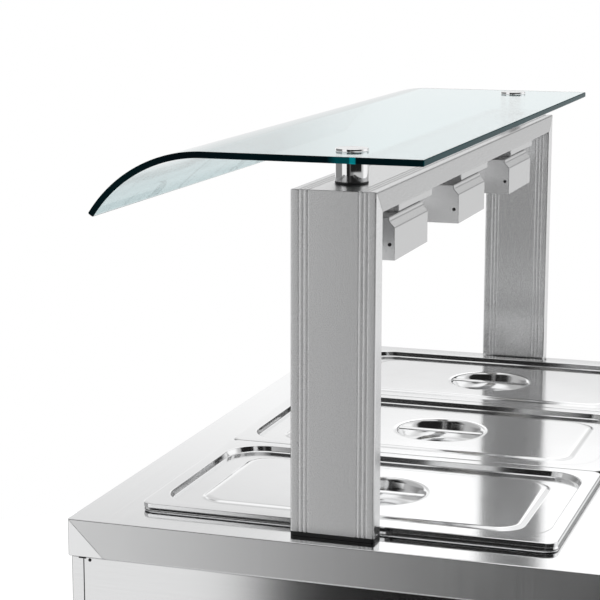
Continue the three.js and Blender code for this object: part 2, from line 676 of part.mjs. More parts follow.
function cupboardGroup() {
  const group = new THREE.Group();
  group.add(named('end_panel_right', endPanel(1), brushedSteel));
  group.add(named('end_panel_left', endPanel(-1), brushedSteel));
  group.add(named('customer_panel', customerPanel(), brushedSteel));
  group.add(named('base_pan', basePan(), brushedSteel));
  group.add(named('operator_frame', operatorFrame(), brushedSteel));
  group.add(named('cable_gland', cableGland(), blackPlastic, glandX, gland.y));
  footPlaces.forEach(([x, y], i) => {
    group.add(named(`foot_${i + 1}`, adjustableFoot(), blackPlastic, x, y));
  });
  for (const [word, side] of [['right', 1], ['left', -1]]) {
    const x = side * (door.gap + handle.fromEdge);
    group.add(named(`door_${word}`, doorLeaf(side), brushedSteel));
    group.add(named(`door_handle_${word}`, bowHandle(), polishedSteel, x, door.front, handle.height));
  }
  return group;
}

function controlsGroup() {
  const group = new THREE.Group();
  const face = door.front;
  const { z, knobX, pilotX } = controls;
  const behind = face - SHEET - GAP;
  group.add(named('control_panel', controlPanel(), brushedSteel));
  group.add(named('thermostat_knob', thermostatKnob(), blackPlastic, knobX, face + GAP, z));
  group.add(named('thermostat_body', thermostatBody(), blackPlastic, knobX, behind, z));
  for (const [name, x, material] of [['power_rocker', controls.powerX, redPlastic],
    ['lamp_rocker', controls.lampX, blackPlastic]]) {
    const mesh = named(name, rocker(), material, x, face - 1, z);
    mesh.rotation.set(THREE.MathUtils.degToRad(-90 - controls.rockerTilt), 0, 0);
    group.add(mesh);
  }
  const pilot = named('pilot_lamp', pilotLamp(), amberPlastic, pilotX, face - SHEET, z);
  pilot.rotation.set(-Math.PI / 2, 0, 0);
  group.add(pilot);
  return group;
}

function drainGroup() {
  const group = new THREE.Group();
  group.position.set(drain.x, drain.y, 0);
  group.add(named('drain_pipe', drainPipe(), brushedSteel));
  group.add(named('drain_valve_body', drainValveBody(), brass, 0, 0, drain.valveZ));
  group.add(named('drain_ball', drainBall(), polishedSteel, 0, 0, drain.valveZ));
  group.add(named('drain_lever', drainLever(), redPlastic, 0, 0, drain.valveZ));
  return group;
}

function pansGroup() {
  const group = new THREE.Group();
  for (let i = 0; i < pans.count; i += 1) {
    const x = panX(i);
    group.add(named(`food_pan_${i + 1}`, foodPan(), polishedSteel, x));
    group.add(named(`pan_lid_${i + 1}`, panLid(), polishedSteel, x));
    group.add(named(`lid_handle_${i + 1}`, lidStrap(), polishedSteel, x));
  }
  return group;
}

function gantryGroup() {
  const group = new THREE.Group();
  const postX = postOuterX - post.depth / 2;
  const standoffX = halfL - standoff.inset;
  [1, -1].forEach((side, i) => {
    const n = i + 1;
    group.add(named(`gantry_post_${n}`, gantryPost(side), anodised, side * postX));
    group.add(named(`post_gasket_${n}`, postGasket(), blackPlastic, side * postX));
    group.add(named(`post_spigot_${n}`, postSpigot(), brushedSteel, side * postX));
    group.add(named(`standoff_washer_${n}`, standoffWasher(), blackPlastic, side * standoffX));
    group.add(named(`standoff_${n}`, standoffBody(), polishedSteel, side * standoffX));
    group.add(named(`glass_cap_${n}`, glassCap(), polishedSteel, side * standoffX));
  });
  group.add(named('gantry_beam', gantryBeam(), anodised));
  group.add(named('glass_canopy', glassCanopy(), greenGlass));
  const tubeZ = beamFoot - lamp.bracketHeight - lamp.tubeDrop;
  for (let i = 0; i < pans.count; i += 1) {
    const x = lampX(i);
    group.add(named(`lamp_bracket_${i + 1}`, lampBracket(), brushedSteel, x));
    group.add(named(`lamp_housing_${i + 1}`, lampHousing(), brushedSteel, x));
    group.add(named(`quartz_lamp_${i + 1}`, quartzLamp(), quartz,
      x + lamp.overhang - lamp.length / 2, 0, tubeZ));
  }
  return group;
}

const unit = new THREE.Group();
unit.add(counterGroup());
unit.add(cupboardGroup());
unit.add(controlsGroup());
unit.add(drainGroup());
unit.add(pansGroup());
unit.add(gantryGroup());

export default unit;
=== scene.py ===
"""Looks of the steam table unit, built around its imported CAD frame. Metres, +Z up."""
import math

import bmesh
import bpy
from mathutils import Matrix, Vector


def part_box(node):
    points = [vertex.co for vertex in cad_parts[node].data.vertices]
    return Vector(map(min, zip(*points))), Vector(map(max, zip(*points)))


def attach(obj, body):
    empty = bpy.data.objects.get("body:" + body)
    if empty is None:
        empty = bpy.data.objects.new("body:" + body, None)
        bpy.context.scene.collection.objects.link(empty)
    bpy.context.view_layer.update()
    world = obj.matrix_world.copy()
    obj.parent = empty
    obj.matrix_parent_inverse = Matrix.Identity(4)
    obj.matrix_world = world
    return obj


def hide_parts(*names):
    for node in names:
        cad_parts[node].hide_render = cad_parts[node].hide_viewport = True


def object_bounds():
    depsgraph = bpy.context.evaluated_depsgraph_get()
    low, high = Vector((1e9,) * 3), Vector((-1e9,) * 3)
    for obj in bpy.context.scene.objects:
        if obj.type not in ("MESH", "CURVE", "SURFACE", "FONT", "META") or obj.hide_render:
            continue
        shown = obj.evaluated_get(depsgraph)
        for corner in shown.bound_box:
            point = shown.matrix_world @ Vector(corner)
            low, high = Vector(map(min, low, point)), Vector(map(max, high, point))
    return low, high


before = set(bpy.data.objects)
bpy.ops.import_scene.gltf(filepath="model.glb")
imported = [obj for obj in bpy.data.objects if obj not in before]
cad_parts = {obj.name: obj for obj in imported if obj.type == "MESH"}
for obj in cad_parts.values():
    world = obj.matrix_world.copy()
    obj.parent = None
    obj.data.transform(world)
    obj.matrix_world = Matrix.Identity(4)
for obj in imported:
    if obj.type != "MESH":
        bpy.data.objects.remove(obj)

cad_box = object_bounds()
MM = 0.001
ROOT = "cabinet"

# ---- places taken from the frame ----------------------------------------------------------
top_lo, top_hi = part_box("worktop")
HALF_L = top_hi.x
HALF_W = top_hi.y
TOP = top_hi.z
APRON = top_hi.z - top_lo.z
APRON_FOOT = TOP - APRON
SHEET = 1.5 * MM
PANEL_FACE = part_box("control_panel")[1].y

# The opening in the top: half sizes and corner radius. Then the tub's rim and the rod's reach.
WELL_X = 478.5 * MM
WELL_Y = 255 * MM
WELL_CORNER = 20.2 * MM
WELL_RIM = 15 * MM
ELEMENT_OUTER = 200 * MM
PANEL_FOLD = 1.6 * MM

# Degrees: edges that turn by more than SHARP shade as edges, and a rocker cap leans by its tilt.
SHARP = 32
ROCKER_TILT = 8


def centre(node):
    lo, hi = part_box(node)
    return (lo + hi) / 2


def half_size(node):
    lo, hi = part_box(node)
    return (hi - lo) / 2


def mm(rows):
    """Rows of millimetres as rows of metres."""
    return [[value * MM for value in row] for row in rows]


CONTROL_Z = centre("pilot_lamp").z


# ---- materials ----------------------------------------------------------------------------
class Nodes:
    """A small builder for one material's node tree."""

    def __init__(self, name):
        self.material = bpy.data.materials.new(name)
        self.material.use_nodes = True
        self.tree = self.material.node_tree
        self.shader = self.tree.nodes["Principled BSDF"]
        self.output = self.tree.nodes["Material Output"]
        self.position = self.add("ShaderNodeTexCoord").outputs["Object"]

    def add(self, kind, **settings):
        node = self.tree.nodes.new(kind)
        for key, value in settings.items():
            setattr(node, key, value)
        return node

    def link(self, a, b):
        self.tree.links.new(a, b)

    def set(self, **values):
        """Sets inputs of the shader. An underscore stands for a space in an input's name."""
        for key, value in values.items():
            self.shader.inputs[key.replace("_", " ")].default_value = value

    def noise(self, scale, detail, roughness, stretch=(1, 1, 1)):
        """Noise over the piece, with its own stretch along X, Y and Z."""
        mapping = self.add("ShaderNodeMapping")
        mapping.inputs["Scale"].default_value = stretch
        self.link(self.position, mapping.inputs["Vector"])
        noise = self.add("ShaderNodeTexNoise")
        noise.inputs["Scale"].default_value = scale
        noise.inputs["Detail"].default_value = detail
        noise.inputs["Roughness"].default_value = roughness
        self.link(mapping.outputs["Vector"], noise.inputs["Vector"])
        return noise.outputs["Fac"]

    def span(self, source, low, high, from_low=0.3, from_high=0.7):
        """The source value moved into the range low to high."""
        node = self.add("ShaderNodeMapRange")
        node.inputs["From Min"].default_value = from_low
        node.inputs["From Max"].default_value = from_high
        node.inputs["To Min"].default_value = low
        node.inputs["To Max"].default_value = high
        self.link(source, node.inputs["Value"])
        return node.outputs["Result"]

    def math(self, operation, a, b):
        node = self.add("ShaderNodeMath", operation=operation)
        for socket, value in zip(node.inputs, (a, b)):
            if isinstance(value, (int, float)):
                socket.default_value = value
            else:
                self.link(value, socket)
        return node.outputs[0]

    def shade(self, source, dark, light):
        """Base colour from dark to light by the source value."""
        ramp = self.add("ShaderNodeMix", data_type="RGBA")
        ramp.inputs["A"].default_value = (*dark, 1)
        ramp.inputs["B"].default_value = (*light, 1)
        self.link(source, ramp.inputs["Factor"])
        self.link(ramp.outputs["Result"], self.shader.inputs["Base Color"])

    def rough(self, source):
        """Roughness by the source value."""
        self.link(source, self.shader.inputs["Roughness"])

    def bump(self, height, distance, strength=1.0):
        """A relief that is the given distance deep."""
        node = self.add("ShaderNodeBump")
        node.inputs["Distance"].default_value = distance
        node.inputs["Strength"].default_value = strength
        self.link(height, node.inputs["Height"])
        self.link(node.outputs["Normal"], self.shader.inputs["Normal"])


def grey(value):
    """A grey with a trace of blue."""
    return (value, value * 1.003, value * 1.008)


AXES = {"x": (1, 0, 0), "y": (0, 1, 0), "z": (0, 0, 1)}
# For a grain axis: the face on which it runs the other way, and the axis across it on each face.
ACROSS = {"x": ("y", "z", "y"), "y": ("z", "x", "z"), "z": ("y", "x", "y")}


def grain(m, along):
    """Blurs reflections across the grain, and returns a chooser between usual and odd faces."""
    odd_face, across_odd, across = ACROSS[along]
    split = m.add("ShaderNodeSeparateXYZ")
    m.link(m.add("ShaderNodeTexCoord").outputs["Normal"], split.inputs[0])
    facing = m.math("GREATER_THAN", m.math("ABSOLUTE", split.outputs[odd_face.upper()], 0), 0.72)

    def either(kind, usual, odd):
        node = m.add("ShaderNodeMix", data_type=kind)
        m.link(facing, node.inputs[0])
        slots = [i for i in node.inputs if i.enabled][1:]
        for socket, value in zip(slots, (usual, odd)):
            if isinstance(value, tuple):
                socket.default_value = value
            else:
                m.link(value, socket)
        return [o for o in node.outputs if o.enabled][0]

    def lines(slow, fast, detail):
        """Scratches that are fine across the grain and long along it."""
        usual, odd = (m.noise(1, detail, 0.6, [fast if part else slow for part in AXES[axis]])
                      for axis in (across, across_odd))
        return either("FLOAT", usual, odd)

    turn = m.add("ShaderNodeVectorTransform", vector_type="VECTOR", convert_from="OBJECT",
                 convert_to="WORLD")
    m.link(either("VECTOR", AXES[across], AXES[across_odd]), turn.inputs[0])
    m.link(turn.outputs[0], m.shader.inputs["Tangent"])
    return lines


def brushed_steel(name, along, tone, roughness, contrast):
    """Stainless sheet brushed along one axis. The grain turns with the folds, and blurs across."""
    m = Nodes(name)
    lines = grain(m, along)
    fine, broad = lines(35, 2400, 3), lines(4, 300, 2)
    marks = m.noise(5.5, 3, 0.6)
    mixed = m.math("ADD", m.math("MULTIPLY", fine, 0.55), m.math("MULTIPLY", broad, 0.45))
    m.shade(m.span(mixed, 0, 1), grey(tone * (1 - contrast)), grey(tone * (1 + contrast)))
    rough = m.math("ADD", m.span(mixed, roughness - 0.01, roughness + 0.01), m.span(marks, -0.01, 0.01))
    m.rough(rough)
    m.bump(fine, 0.000002)
    m.set(Metallic=1.0, Anisotropic=0.9)
    return m.material


def polished_steel(name, tone, roughness, waviness):
    """Deep-drawn bright stainless: mirror sheen, slow waves in the sheet and hairline scratches."""
    m = Nodes(name)
    hair = m.noise(1, 3, 0.6, (900, 40, 900))
    cloud = m.noise(9, 3, 0.55)
    waves = m.noise(12, 1, 0.4)
    m.shade(m.span(cloud, 0, 1), grey(tone * 0.98), grey(tone * 1.02))
    rough = m.math("ADD", m.span(hair, roughness - 0.012, roughness + 0.012),
                   m.span(cloud, -0.01, 0.015))
    m.rough(rough)
    m.bump(waves, waviness)
    m.set(Metallic=1.0)
    return m.material


def anodised(name, along, tone):
    """Satin natural anodising: an even, slightly sparkling etch over faint die lines."""
    m = Nodes(name)
    low, high = 0.25, 0.29
    etch = m.noise(1400, 2, 0.6)
    lines = grain(m, along)(6, 500, 2)
    drift = m.noise(2.5, 2, 0.5)
    m.shade(m.span(lines, 0, 1), grey(tone * 0.985), grey(tone * 1.01))
    rough = m.math("ADD", m.span(etch, low, high), m.span(drift, -0.01, 0.01))
    m.rough(rough)
    m.bump(etch, 0.000003, 0.5)
    m.set(Metallic=1.0, Anisotropic=0.75)
    return m.material


def plastic(name, colour, roughness, pebble, light):
    """Moulded plastic: a spark-eroded pebble texture, a little worn shine."""
    m = Nodes(name)
    pebbles = m.noise(900, 2, 0.5)
    wear = m.noise(22, 3, 0.6)
    m.shade(m.span(wear, 0, 1), colour, tuple(min(1.0, c * light) for c in colour))
    m.rough(m.span(wear, roughness - 0.07, roughness + 0.07))
    m.bump(pebbles, pebble)
    return m.material


def mottled(name, pattern, dark, light, roughness, relief, **shader):
    """One noise (scale, detail, roughness) moves the colour, the gloss and the relief together."""
    m = Nodes(name)
    noise = m.noise(*pattern)
    m.shade(m.span(noise, 0, 1), dark, light)
    m.rough(m.span(noise, *roughness))
    if relief:
        m.bump(noise, relief)
    m.set(**shader)
    return m.material


def clear_glass(name):
    """Tempered float glass with the pale blue-green of its thickness."""
    m = Nodes(name)
    m.set(Roughness=0.0, IOR=1.5, Transmission_Weight=1.0)
    m.shade(m.span(m.noise(1.2, 1, 0.4), 0, 1), (0.41, 0.565, 0.585), (0.44, 0.59, 0.61))
    m.bump(m.noise(2.2, 1, 0.4), 0.00012)
    shadow = m.add("ShaderNodeBsdfTransparent")
    shadow.inputs["Color"].default_value = (0.93, 0.965, 0.96, 1)
    mix = m.add("ShaderNodeMixShader")
    m.link(m.add("ShaderNodeLightPath").outputs["Is Shadow Ray"], mix.inputs["Fac"])
    m.link(m.shader.outputs[0], mix.inputs[1])
    m.link(shadow.outputs[0], mix.inputs[2])
    m.link(mix.outputs[0], m.output.inputs["Surface"])
    return m.material


def glass_edge(name):
    """The polished edge seen along the sheet, painted: near black as painted shade, teal as painted light
    where a standoff lights it.
    """
    m = Nodes(name)
    depth = m.noise(7, 2, 0.5)
    split = m.add("ShaderNodeSeparateXYZ")
    m.link(m.position, split.inputs[0])
    x, y = split.outputs["X"], split.outputs["Y"]
    # Painted light: a teal band on the end edges where the standoff at lit_y lights them, a faint teal ramp
    # beside it, and a little teal on the operator edge.
    lit_y, lit_half, fade = 21.5 * MM, 2.6 * MM, 2 * MM
    offset = m.math("ABSOLUTE", m.math("SUBTRACT", y, lit_y), 0)
    faint = m.math("MULTIPLY", m.span(y, 0, 0.24, -9 * MM, 2 * MM), m.math("LESS_THAN", y, lit_y - MM / 2))
    near = m.math("MAXIMUM", m.span(offset, 1, 0, lit_half, lit_half + fade), faint)
    at_end = m.math("SUBTRACT", 1, m.math("LESS_THAN", m.math("ABSOLUTE", x, 0), HALF_L - 36 * MM))
    at_operator = m.math("GREATER_THAN", y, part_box("glass_canopy")[1].y - MM)
    painted_light = m.math("ADD", m.math("MULTIPLY", m.math("MULTIPLY", near, at_end), 0.95),
                  m.math("MULTIPLY", at_operator, 0.1))
    m.shade(m.math("ADD", painted_light, m.span(depth, 0, 0.03)), (0.001, 0.004, 0.0065), (0.004, 0.42, 0.49))
    m.rough(m.span(depth, 0.1, 0.2))
    m.set(IOR=1.5, Specular_IOR_Level=0.02)
    return m.material


# Each finish is (slot, material). The last two are second materials of a piece and have no slot.
FINISHES = {
    "steel_x": ("brushed_steel", brushed_steel("brushed_steel_along_x", "x", 0.72, 0.2, 0.03)),
    "steel_y": ("brushed_steel", brushed_steel("brushed_steel_along_y", "y", 0.7, 0.13, 0.03)),
    "steel_z": ("brushed_steel", brushed_steel("brushed_steel_upright", "z", 0.72, 0.2, 0.03)),
    "worktop": ("brushed_steel", brushed_steel("worktop_satin_steel", "x", 0.72, 0.185, 0.02)),
    "fascia": ("brushed_steel", brushed_steel("fascia_satin_steel", "y", 0.75, 0.2, 0.02)),
    "housing": ("brushed_steel", brushed_steel("lamp_housing_steel", "z", 0.7, 0.26, 0.02)),
    "bright": ("polished_steel", polished_steel("bright_drawn_steel", 0.86, 0.12, 0.00002)),
    "mirror": ("polished_steel", polished_steel("turned_bright_steel", 0.82, 0.06, 0.000003)),
    "reflector": ("brushed_steel", polished_steel("reflector_sheet", 0.88, 0.16, 0.00005)),
    "profile_z": ("anodised_aluminium", anodised("anodised_upright", "z", 0.85)),
    # The beam is the same anodised profile as the posts; its darker tone is painted shade.
    "profile_x": ("anodised_aluminium", anodised("anodised_beam_painted_shade", "x", 0.57)),
    "black": ("black_plastic", plastic("black_plastic", (0.012, 0.012, 0.013), 0.42, 0.00003, 1.35)),
    "red": ("red_plastic", plastic("red_plastic", (0.45, 0.022, 0.016), 0.3, 0.00001, 1.35)),
    "white": ("black_plastic", plastic("white_mark", (0.8, 0.8, 0.78), 0.5, 0.00001, 1.1)),
    "amber": ("amber_lens", mottled("amber_lens", (350, 1, 0.4), (0.76, 0.336, 0.04), (0.95, 0.42, 0.05),
                                    (0.12, 0.12), 0.00006, IOR=1.49, Transmission_Weight=0.35)),
    "quartz": ("quartz", mottled("quartz", (60, 2, 0.5), (0.9, 0.88, 0.84), (0.98, 0.97, 0.95),
                                 (0.05, 0.05), 0.0, IOR=1.46, Transmission_Weight=0.9)),
    "ceramic": ("quartz", mottled("ceramic", (500, 3, 0.6), (0.7, 0.67, 0.6), (0.86, 0.84, 0.78),
                                  (0.5, 0.7), 0.00004)),
    "element": ("element_sheath", mottled("element_sheath", (40, 4, 0.65), (0.16, 0.13, 0.11),
                                          (0.42, 0.4, 0.38), (0.3, 0.55), 0.00003, Metallic=1.0)),
    "brass": ("brass", mottled("nickel_brass", (120, 4, 0.6), (0.5, 0.44, 0.32), (0.72, 0.66, 0.52),
                               (0.28, 0.42), 0.00005, Metallic=1.0)),
    "glass": ("tempered_glass", clear_glass("canopy_glass")),
    # The canopy edges are painted: near black as painted shade, teal as painted light near the standoffs.
    "glass_edge": (None, glass_edge("canopy_glass_edge_painted_shade_and_light")),
    # The worktop's top faces: a smoother steel, and its lighter tone than the aprons is painted light.
    "margin": (None, brushed_steel("worktop_margin_steel", "x", 0.86, 0.11, 0.02)),
}


# ---- mesh tools ---------------------------------------------------------------------------
def add_piece(name, mesh_data, finish, body=ROOT, replaces=(), sharp=SHARP):
    """Links a bmesh as a smooth-shaded piece that rides on a body."""
    mesh = bpy.data.meshes.new(name)
    bmesh.ops.recalc_face_normals(mesh_data, faces=mesh_data.faces)
    mesh_data.to_mesh(mesh)
    mesh_data.free()
    mesh.shade_smooth()
    mesh.set_sharp_from_angle(angle=math.radians(sharp))
    slot, material = FINISHES[finish]
    mesh.materials.append(material)
    obj = bpy.data.objects.new(name, mesh)
    bpy.context.scene.collection.objects.link(obj)
    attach(obj, body)
    if replaces:
        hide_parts(*replaces)
    return obj


def weigh(obj):
    """Keeps broad flat faces flat in shading beside their rounded edges."""
    modifier = obj.modifiers.new("flat_faces", "WEIGHTED_NORMAL")
    modifier.keep_sharp = True
    modifier.weight = 100
    return obj


def thicken(obj, thickness=SHEET):
    """Gives a sheet piece its thickness, inwards, and crisp cut edges."""
    modifier = obj.modifiers.new("sheet", "SOLIDIFY")
    modifier.thickness = thickness
    modifier.offset = -1
    modifier.use_even_offset = True
    graph = bpy.context.evaluated_depsgraph_get()
    thin = obj.data
    obj.data = bpy.data.meshes.new_from_object(obj.evaluated_get(graph))
    obj.modifiers.clear()
    bpy.data.meshes.remove(thin)
    obj.data.name = obj.name
    obj.data.set_sharp_from_angle(angle=math.radians(SHARP))
    return obj


def rounded_loop(half_x, half_y, radius, steps):
    """A rounded rectangle, anticlockwise. A radius equal to both halves gives an even circle."""
    if abs(half_x - radius) < 1e-6 and abs(half_y - radius) < 1e-6:
        count = 4 * (steps + 1)
        turns = [2 * math.pi * (i + 0.5) / count for i in range(count)]
        return [(radius * math.cos(a), radius * math.sin(a)) for a in turns]
    points = []
    for corner, (sign_x, sign_y) in enumerate(((1, 1), (-1, 1), (-1, -1), (1, -1))):
        for step in range(steps + 1):
            angle = (corner + step / steps) * math.pi / 2
            points.append((sign_x * (half_x - radius) + radius * math.cos(angle),
                           sign_y * (half_y - radius) + radius * math.sin(angle)))
    return points


def bend(before, here, after, ease, steps, measured=(0, 1)):
    """Rounds one corner of an outline by a parabola that starts up to ease away on both sides."""
    def toward(other):
        gap = math.hypot(*(other[i] - here[i] for i in measured))
        share = min(0.5, ease / gap) if gap else 0
        return [h + (o - h) * share for h, o in zip(here, other)]

    start, end = toward(before), toward(after)
    return [tuple((1 - t) ** 2 * s + 2 * t * (1 - t) * h + t * t * e
                  for s, h, e in zip(start, here, end)) for t in (k / steps for k in range(steps + 1))]


def eased(rings, steps=4):
    """Rounds the bends of a ring profile. A ring is (half x, half y, corner radius, z, ease)."""
    out = [rings[0][:4]]
    for before, here, after in zip(rings, rings[1:], rings[2:]):
        corner = (before[:4], here[:4], after[:4])
        out += bend(*corner, here[4], steps, (0, 3)) if here[4] else [here[:4]]
    return [*out, rings[-1][:4]]


def walled(bm, low, high):
    """Joins two loops all round; a loop of one vertex closes to a point."""
    count = max(len(low), len(high))
    for i in range(count):
        j = (i + 1) % count
        corners = (low[i % len(low)], low[j % len(low)], high[j % len(high)], high[i % len(high)])
        bm.faces.new(list(dict.fromkeys(corners)))


def strip(bm, one, other):
    """Joins two open rows of vertices."""
    for i in range(len(one) - 1):
        bm.faces.new((one[i], other[i], other[i + 1], one[i + 1]))


def filled(bm, *loops):
    """Fills the flat area between an outer loop of vertices and the holes in it."""
    edges = [bm.edges.get(pair) or bm.edges.new(pair)
             for loop in loops for pair in zip(loop, loop[1:] + loop[:1])]
    bmesh.ops.triangle_fill(bm, use_beauty=True, use_dissolve=False, edges=edges)


def moved(bm, matrix):
    """The same mesh after a transform."""
    bmesh.ops.transform(bm, matrix=matrix, verts=bm.verts)
    return bm


def loft(rings, at=(0, 0), steps=12, close=True):
    """A skin through rounded-rectangle rings: capped at both ends, or closed into a frame."""
    bm = bmesh.new()
    loops = [[bm.verts.new((at[0] + x, at[1] + y, z)) for x, y in rounded_loop(*ring, steps)]
             for *ring, z in rings]
    for lower, upper in zip(loops, loops[1:]):
        walled(bm, lower, upper)
    if close:
        bm.faces.new(reversed(loops[0]))
        bm.faces.new(loops[-1])
    else:
        walled(bm, loops[-1], loops[0])
    return bm


def lathe(profile, sides=48, axis="z", at=(0, 0, 0), side=1):
    """A turned solid. The profile is (radius, height, ease) from axis to axis, or a closed ring."""
    closed = profile[0][0] > 0
    ring = [profile[-1], *profile, profile[0]] if closed else profile
    points = []
    for before, here, after in zip(ring, ring[1:], ring[2:]):
        ease = here[2] if len(here) > 2 else 0
        points += bend(before[:2], here[:2], after[:2], ease, 3) if ease else [here[:2]]
    if not closed:
        points = [profile[0][:2], *points, profile[-1][:2]]
    bm = bmesh.new()
    turns = [2 * math.pi * i / sides for i in range(sides)]
    rows = [[bm.verts.new((radius * math.cos(a), radius * math.sin(a), side * height))
             for a in (turns if radius > 1e-7 else turns[:1])] for radius, height in points]
    for low, high in zip(rows, rows[1:] + (rows[:1] if closed else [])):
        walled(bm, low, high)
    turn = {"z": Matrix.Identity(4), "x": Matrix.Rotation(math.pi / 2, 4, "Y"),
            "y": Matrix.Rotation(-math.pi / 2, 4, "X")}[axis]
    return moved(bm, Matrix.Translation(at) @ turn)


def rounded_block(lo, hi, radius, segments=3, skip=None):
    """A box with rounded edges; skip leaves one side open, as (axis, side)."""
    bm = bmesh.new()
    lo, hi = Vector(lo), Vector(hi)
    place = Matrix.Translation((lo + hi) / 2) @ Matrix.Diagonal((*(hi - lo), 1))
    bmesh.ops.create_cube(bm, size=1.0, matrix=place)
    if skip is not None:
        axis, side = skip
        open_face = [f for f in bm.faces if f.normal[axis] * side > 0.9]
        bmesh.ops.delete(bm, geom=open_face, context="FACES_ONLY")
    rounded(bm, [e for e in bm.edges if len(e.link_faces) == 2], radius, segments)
    return bm


def rounded(bm, edges, radius, segments=3):
    """Rounds the given edges."""
    bmesh.ops.bevel(bm, geom=edges, offset=radius, segments=segments, profile=0.5, affect="EDGES",
                    clamp_overlap=True)


def merge(*parts):
    """One bmesh from several."""
    whole = bmesh.new()
    for part in parts:
        mesh = bpy.data.meshes.new("scratch")
        part.to_mesh(mesh)
        part.free()
        whole.from_mesh(mesh)
        bpy.data.meshes.remove(mesh)
    return whole


def sweep(points, radius, sides):
    """A round bar along points, with rings square to the path."""
    bm = bmesh.new()
    points = [Vector(p) for p in points]
    turns = [2 * math.pi * k / sides for k in range(sides)]
    loops = []
    across = (points[1] - points[0]).normalized().orthogonal()
    for before, point, after in zip(points[:1] + points, points, points[1:] + points[-1:]):
        ahead = (after - before).normalized()
        across = (across - ahead * across.dot(ahead)).normalized()
        up = ahead.cross(across)
        loops.append([bm.verts.new(point + radius * (math.cos(a) * across + math.sin(a) * up))
                      for a in turns])
    for first, second in zip(loops, loops[1:]):
        walled(bm, first, second)
    bm.faces.new(reversed(loops[0]))
    bm.faces.new(loops[-1])
    return bm


def bent_path(corners, radius, steps=8):
    """A polyline with its corners rounded to a radius."""
    corners = [Vector(c) for c in corners]
    out = [corners[0]]
    for before, here, after in zip(corners, corners[1:], corners[2:]):
        a = (before - here).normalized()
        b = (after - here).normalized()
        half = a.angle(b) / 2
        reach = radius / math.tan(half)
        middle = here + (a + b).normalized() * (radius / math.sin(half))
        start = here + a * reach - middle
        end = here + b * reach - middle
        turn = start.angle(end)
        axis = start.cross(end).normalized()
        for k in range(steps + 1):
            out.append(middle + Matrix.Rotation(turn * k / steps, 3, axis) @ start)
    out.append(corners[-1])
    return out


def screw_head(at, axis, radius, side=1):
    """A domed screw or rivet head."""
    dome = [(0, 1.5 * MM), (radius * 0.55, 1.35 * MM), (radius * 0.9, 0.7 * MM), (radius, 0), (0, 0)]
    return lathe(dome, 24, axis, at, side)


# ---- counter top --------------------------------------------------------------------------
FOLD = 1.8 * MM
HEM = 18 * MM
SEAM = 0.35 * MM


def fold_profile(start_z):
    """Inset and height down an apron: top fold, drop, bottom fold and hem."""
    steps = 5
    points = []
    if start_z == TOP:
        for k in range(steps + 1):
            a = math.pi / 2 * k / steps
            points.append((FOLD - FOLD * math.sin(a), TOP - FOLD + FOLD * math.cos(a)))
    else:
        points.append((0, start_z))
    for k in range(steps + 1):
        a = math.pi / 2 * k / steps
        points.append((FOLD - FOLD * math.cos(a), APRON_FOOT + FOLD - FOLD * math.sin(a)))
    points.append((HEM, APRON_FOOT))
    return points


def corner_arc(x, y, sign_x, sign_y, inset, start, radius=2.5 * MM, steps=4):
    """The inset corner of a folded rim, as a list of (x, y)."""
    r = max(radius - inset, 0)
    keep = max(inset, radius)
    cx, cy = sign_x * (x - keep), sign_y * (y - keep)
    return [(cx + r * math.cos(start + math.pi / 2 * k / steps),
             cy + r * math.sin(start + math.pi / 2 * k / steps)) for k in range(steps + 1)]


def skirt(bm, profile, route):
    """The folded sheet down an edge: every row of the profile follows the route round the top."""
    rows = [[bm.verts.new((x, y, z)) for x, y in route(inset, z)] for inset, z in profile]
    for upper, lower in zip(rows, rows[1:]):
        strip(bm, upper, lower)
    return rows


def worktop():
    """The top sheet with its opening, its eased lip and the aprons on three sides."""
    bm = bmesh.new()

    def route(inset, z):
        mitre = -HALF_W + (TOP - z) + (SEAM if z < TOP - 1.6 * MM else 0)
        right = corner_arc(HALF_L, HALF_W, 1, 1, inset, 0)
        left = corner_arc(HALF_L, HALF_W, -1, 1, inset, math.pi / 2)
        return [(HALF_L - inset, mitre), *right, *left, (-HALF_L + inset, mitre)]

    rim = skirt(bm, fold_profile(TOP), route)[0]
    lip = []
    for k in range(5):
        a = math.pi / 2 * k / 4
        ease = FOLD * (1 - math.sin(a))
        lip.append([bm.verts.new((x, y, TOP - FOLD + FOLD * math.cos(a))) for x, y in
                    rounded_loop(WELL_X + ease, WELL_Y + ease, WELL_CORNER + ease, 8)])
    filled(bm, rim, lip[0])
    for a, b in zip(lip, lip[1:]):
        walled(bm, a, b)
    bmesh.ops.remove_doubles(bm, verts=bm.verts, dist=1e-6)
    obj = thicken(add_piece("worktop_sheet", bm, "worktop", replaces=("worktop",)))
    # The flat faces take the second finish: smoother steel whose lighter tone is painted light on the top.
    obj.data.materials.append(FINISHES["margin"][1])
    for face in obj.data.polygons:
        face.material_index = int(abs(face.normal.z) > 0.9)
    return weigh(obj)


def customer_fascia():
    """The separate apron on the customer side, mitred to the worktop at both ends."""
    bm = bmesh.new()

    def route(inset, z):
        mitre = -HALF_W + (TOP - z) - SEAM
        left = corner_arc(HALF_L, HALF_W, -1, -1, inset, math.pi, 1.3 * MM)
        right = corner_arc(HALF_L, HALF_W, 1, -1, inset, 3 * math.pi / 2, 1.3 * MM)
        return [(-HALF_L + inset, mitre), *left, *right, (HALF_L - inset, mitre)]

    skirt(bm, fold_profile(TOP - 1.8 * MM), route)
    bmesh.ops.remove_doubles(bm, verts=bm.verts, dist=1e-6)
    obj = add_piece("customer_fascia_sheet", bm, "fascia", replaces=("customer_fascia",))
    return weigh(thicken(obj))


# ---- cupboard -----------------------------------------------------------------------------
def folded_panel(node, skip):
    """A sheet panel folded back along its edges, open on one side."""
    panel = rounded_block(*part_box(node), PANEL_FOLD, 4, skip)
    weigh(thicken(add_piece(f"{node}_sheet", panel, "steel_y", replaces=(node,))))


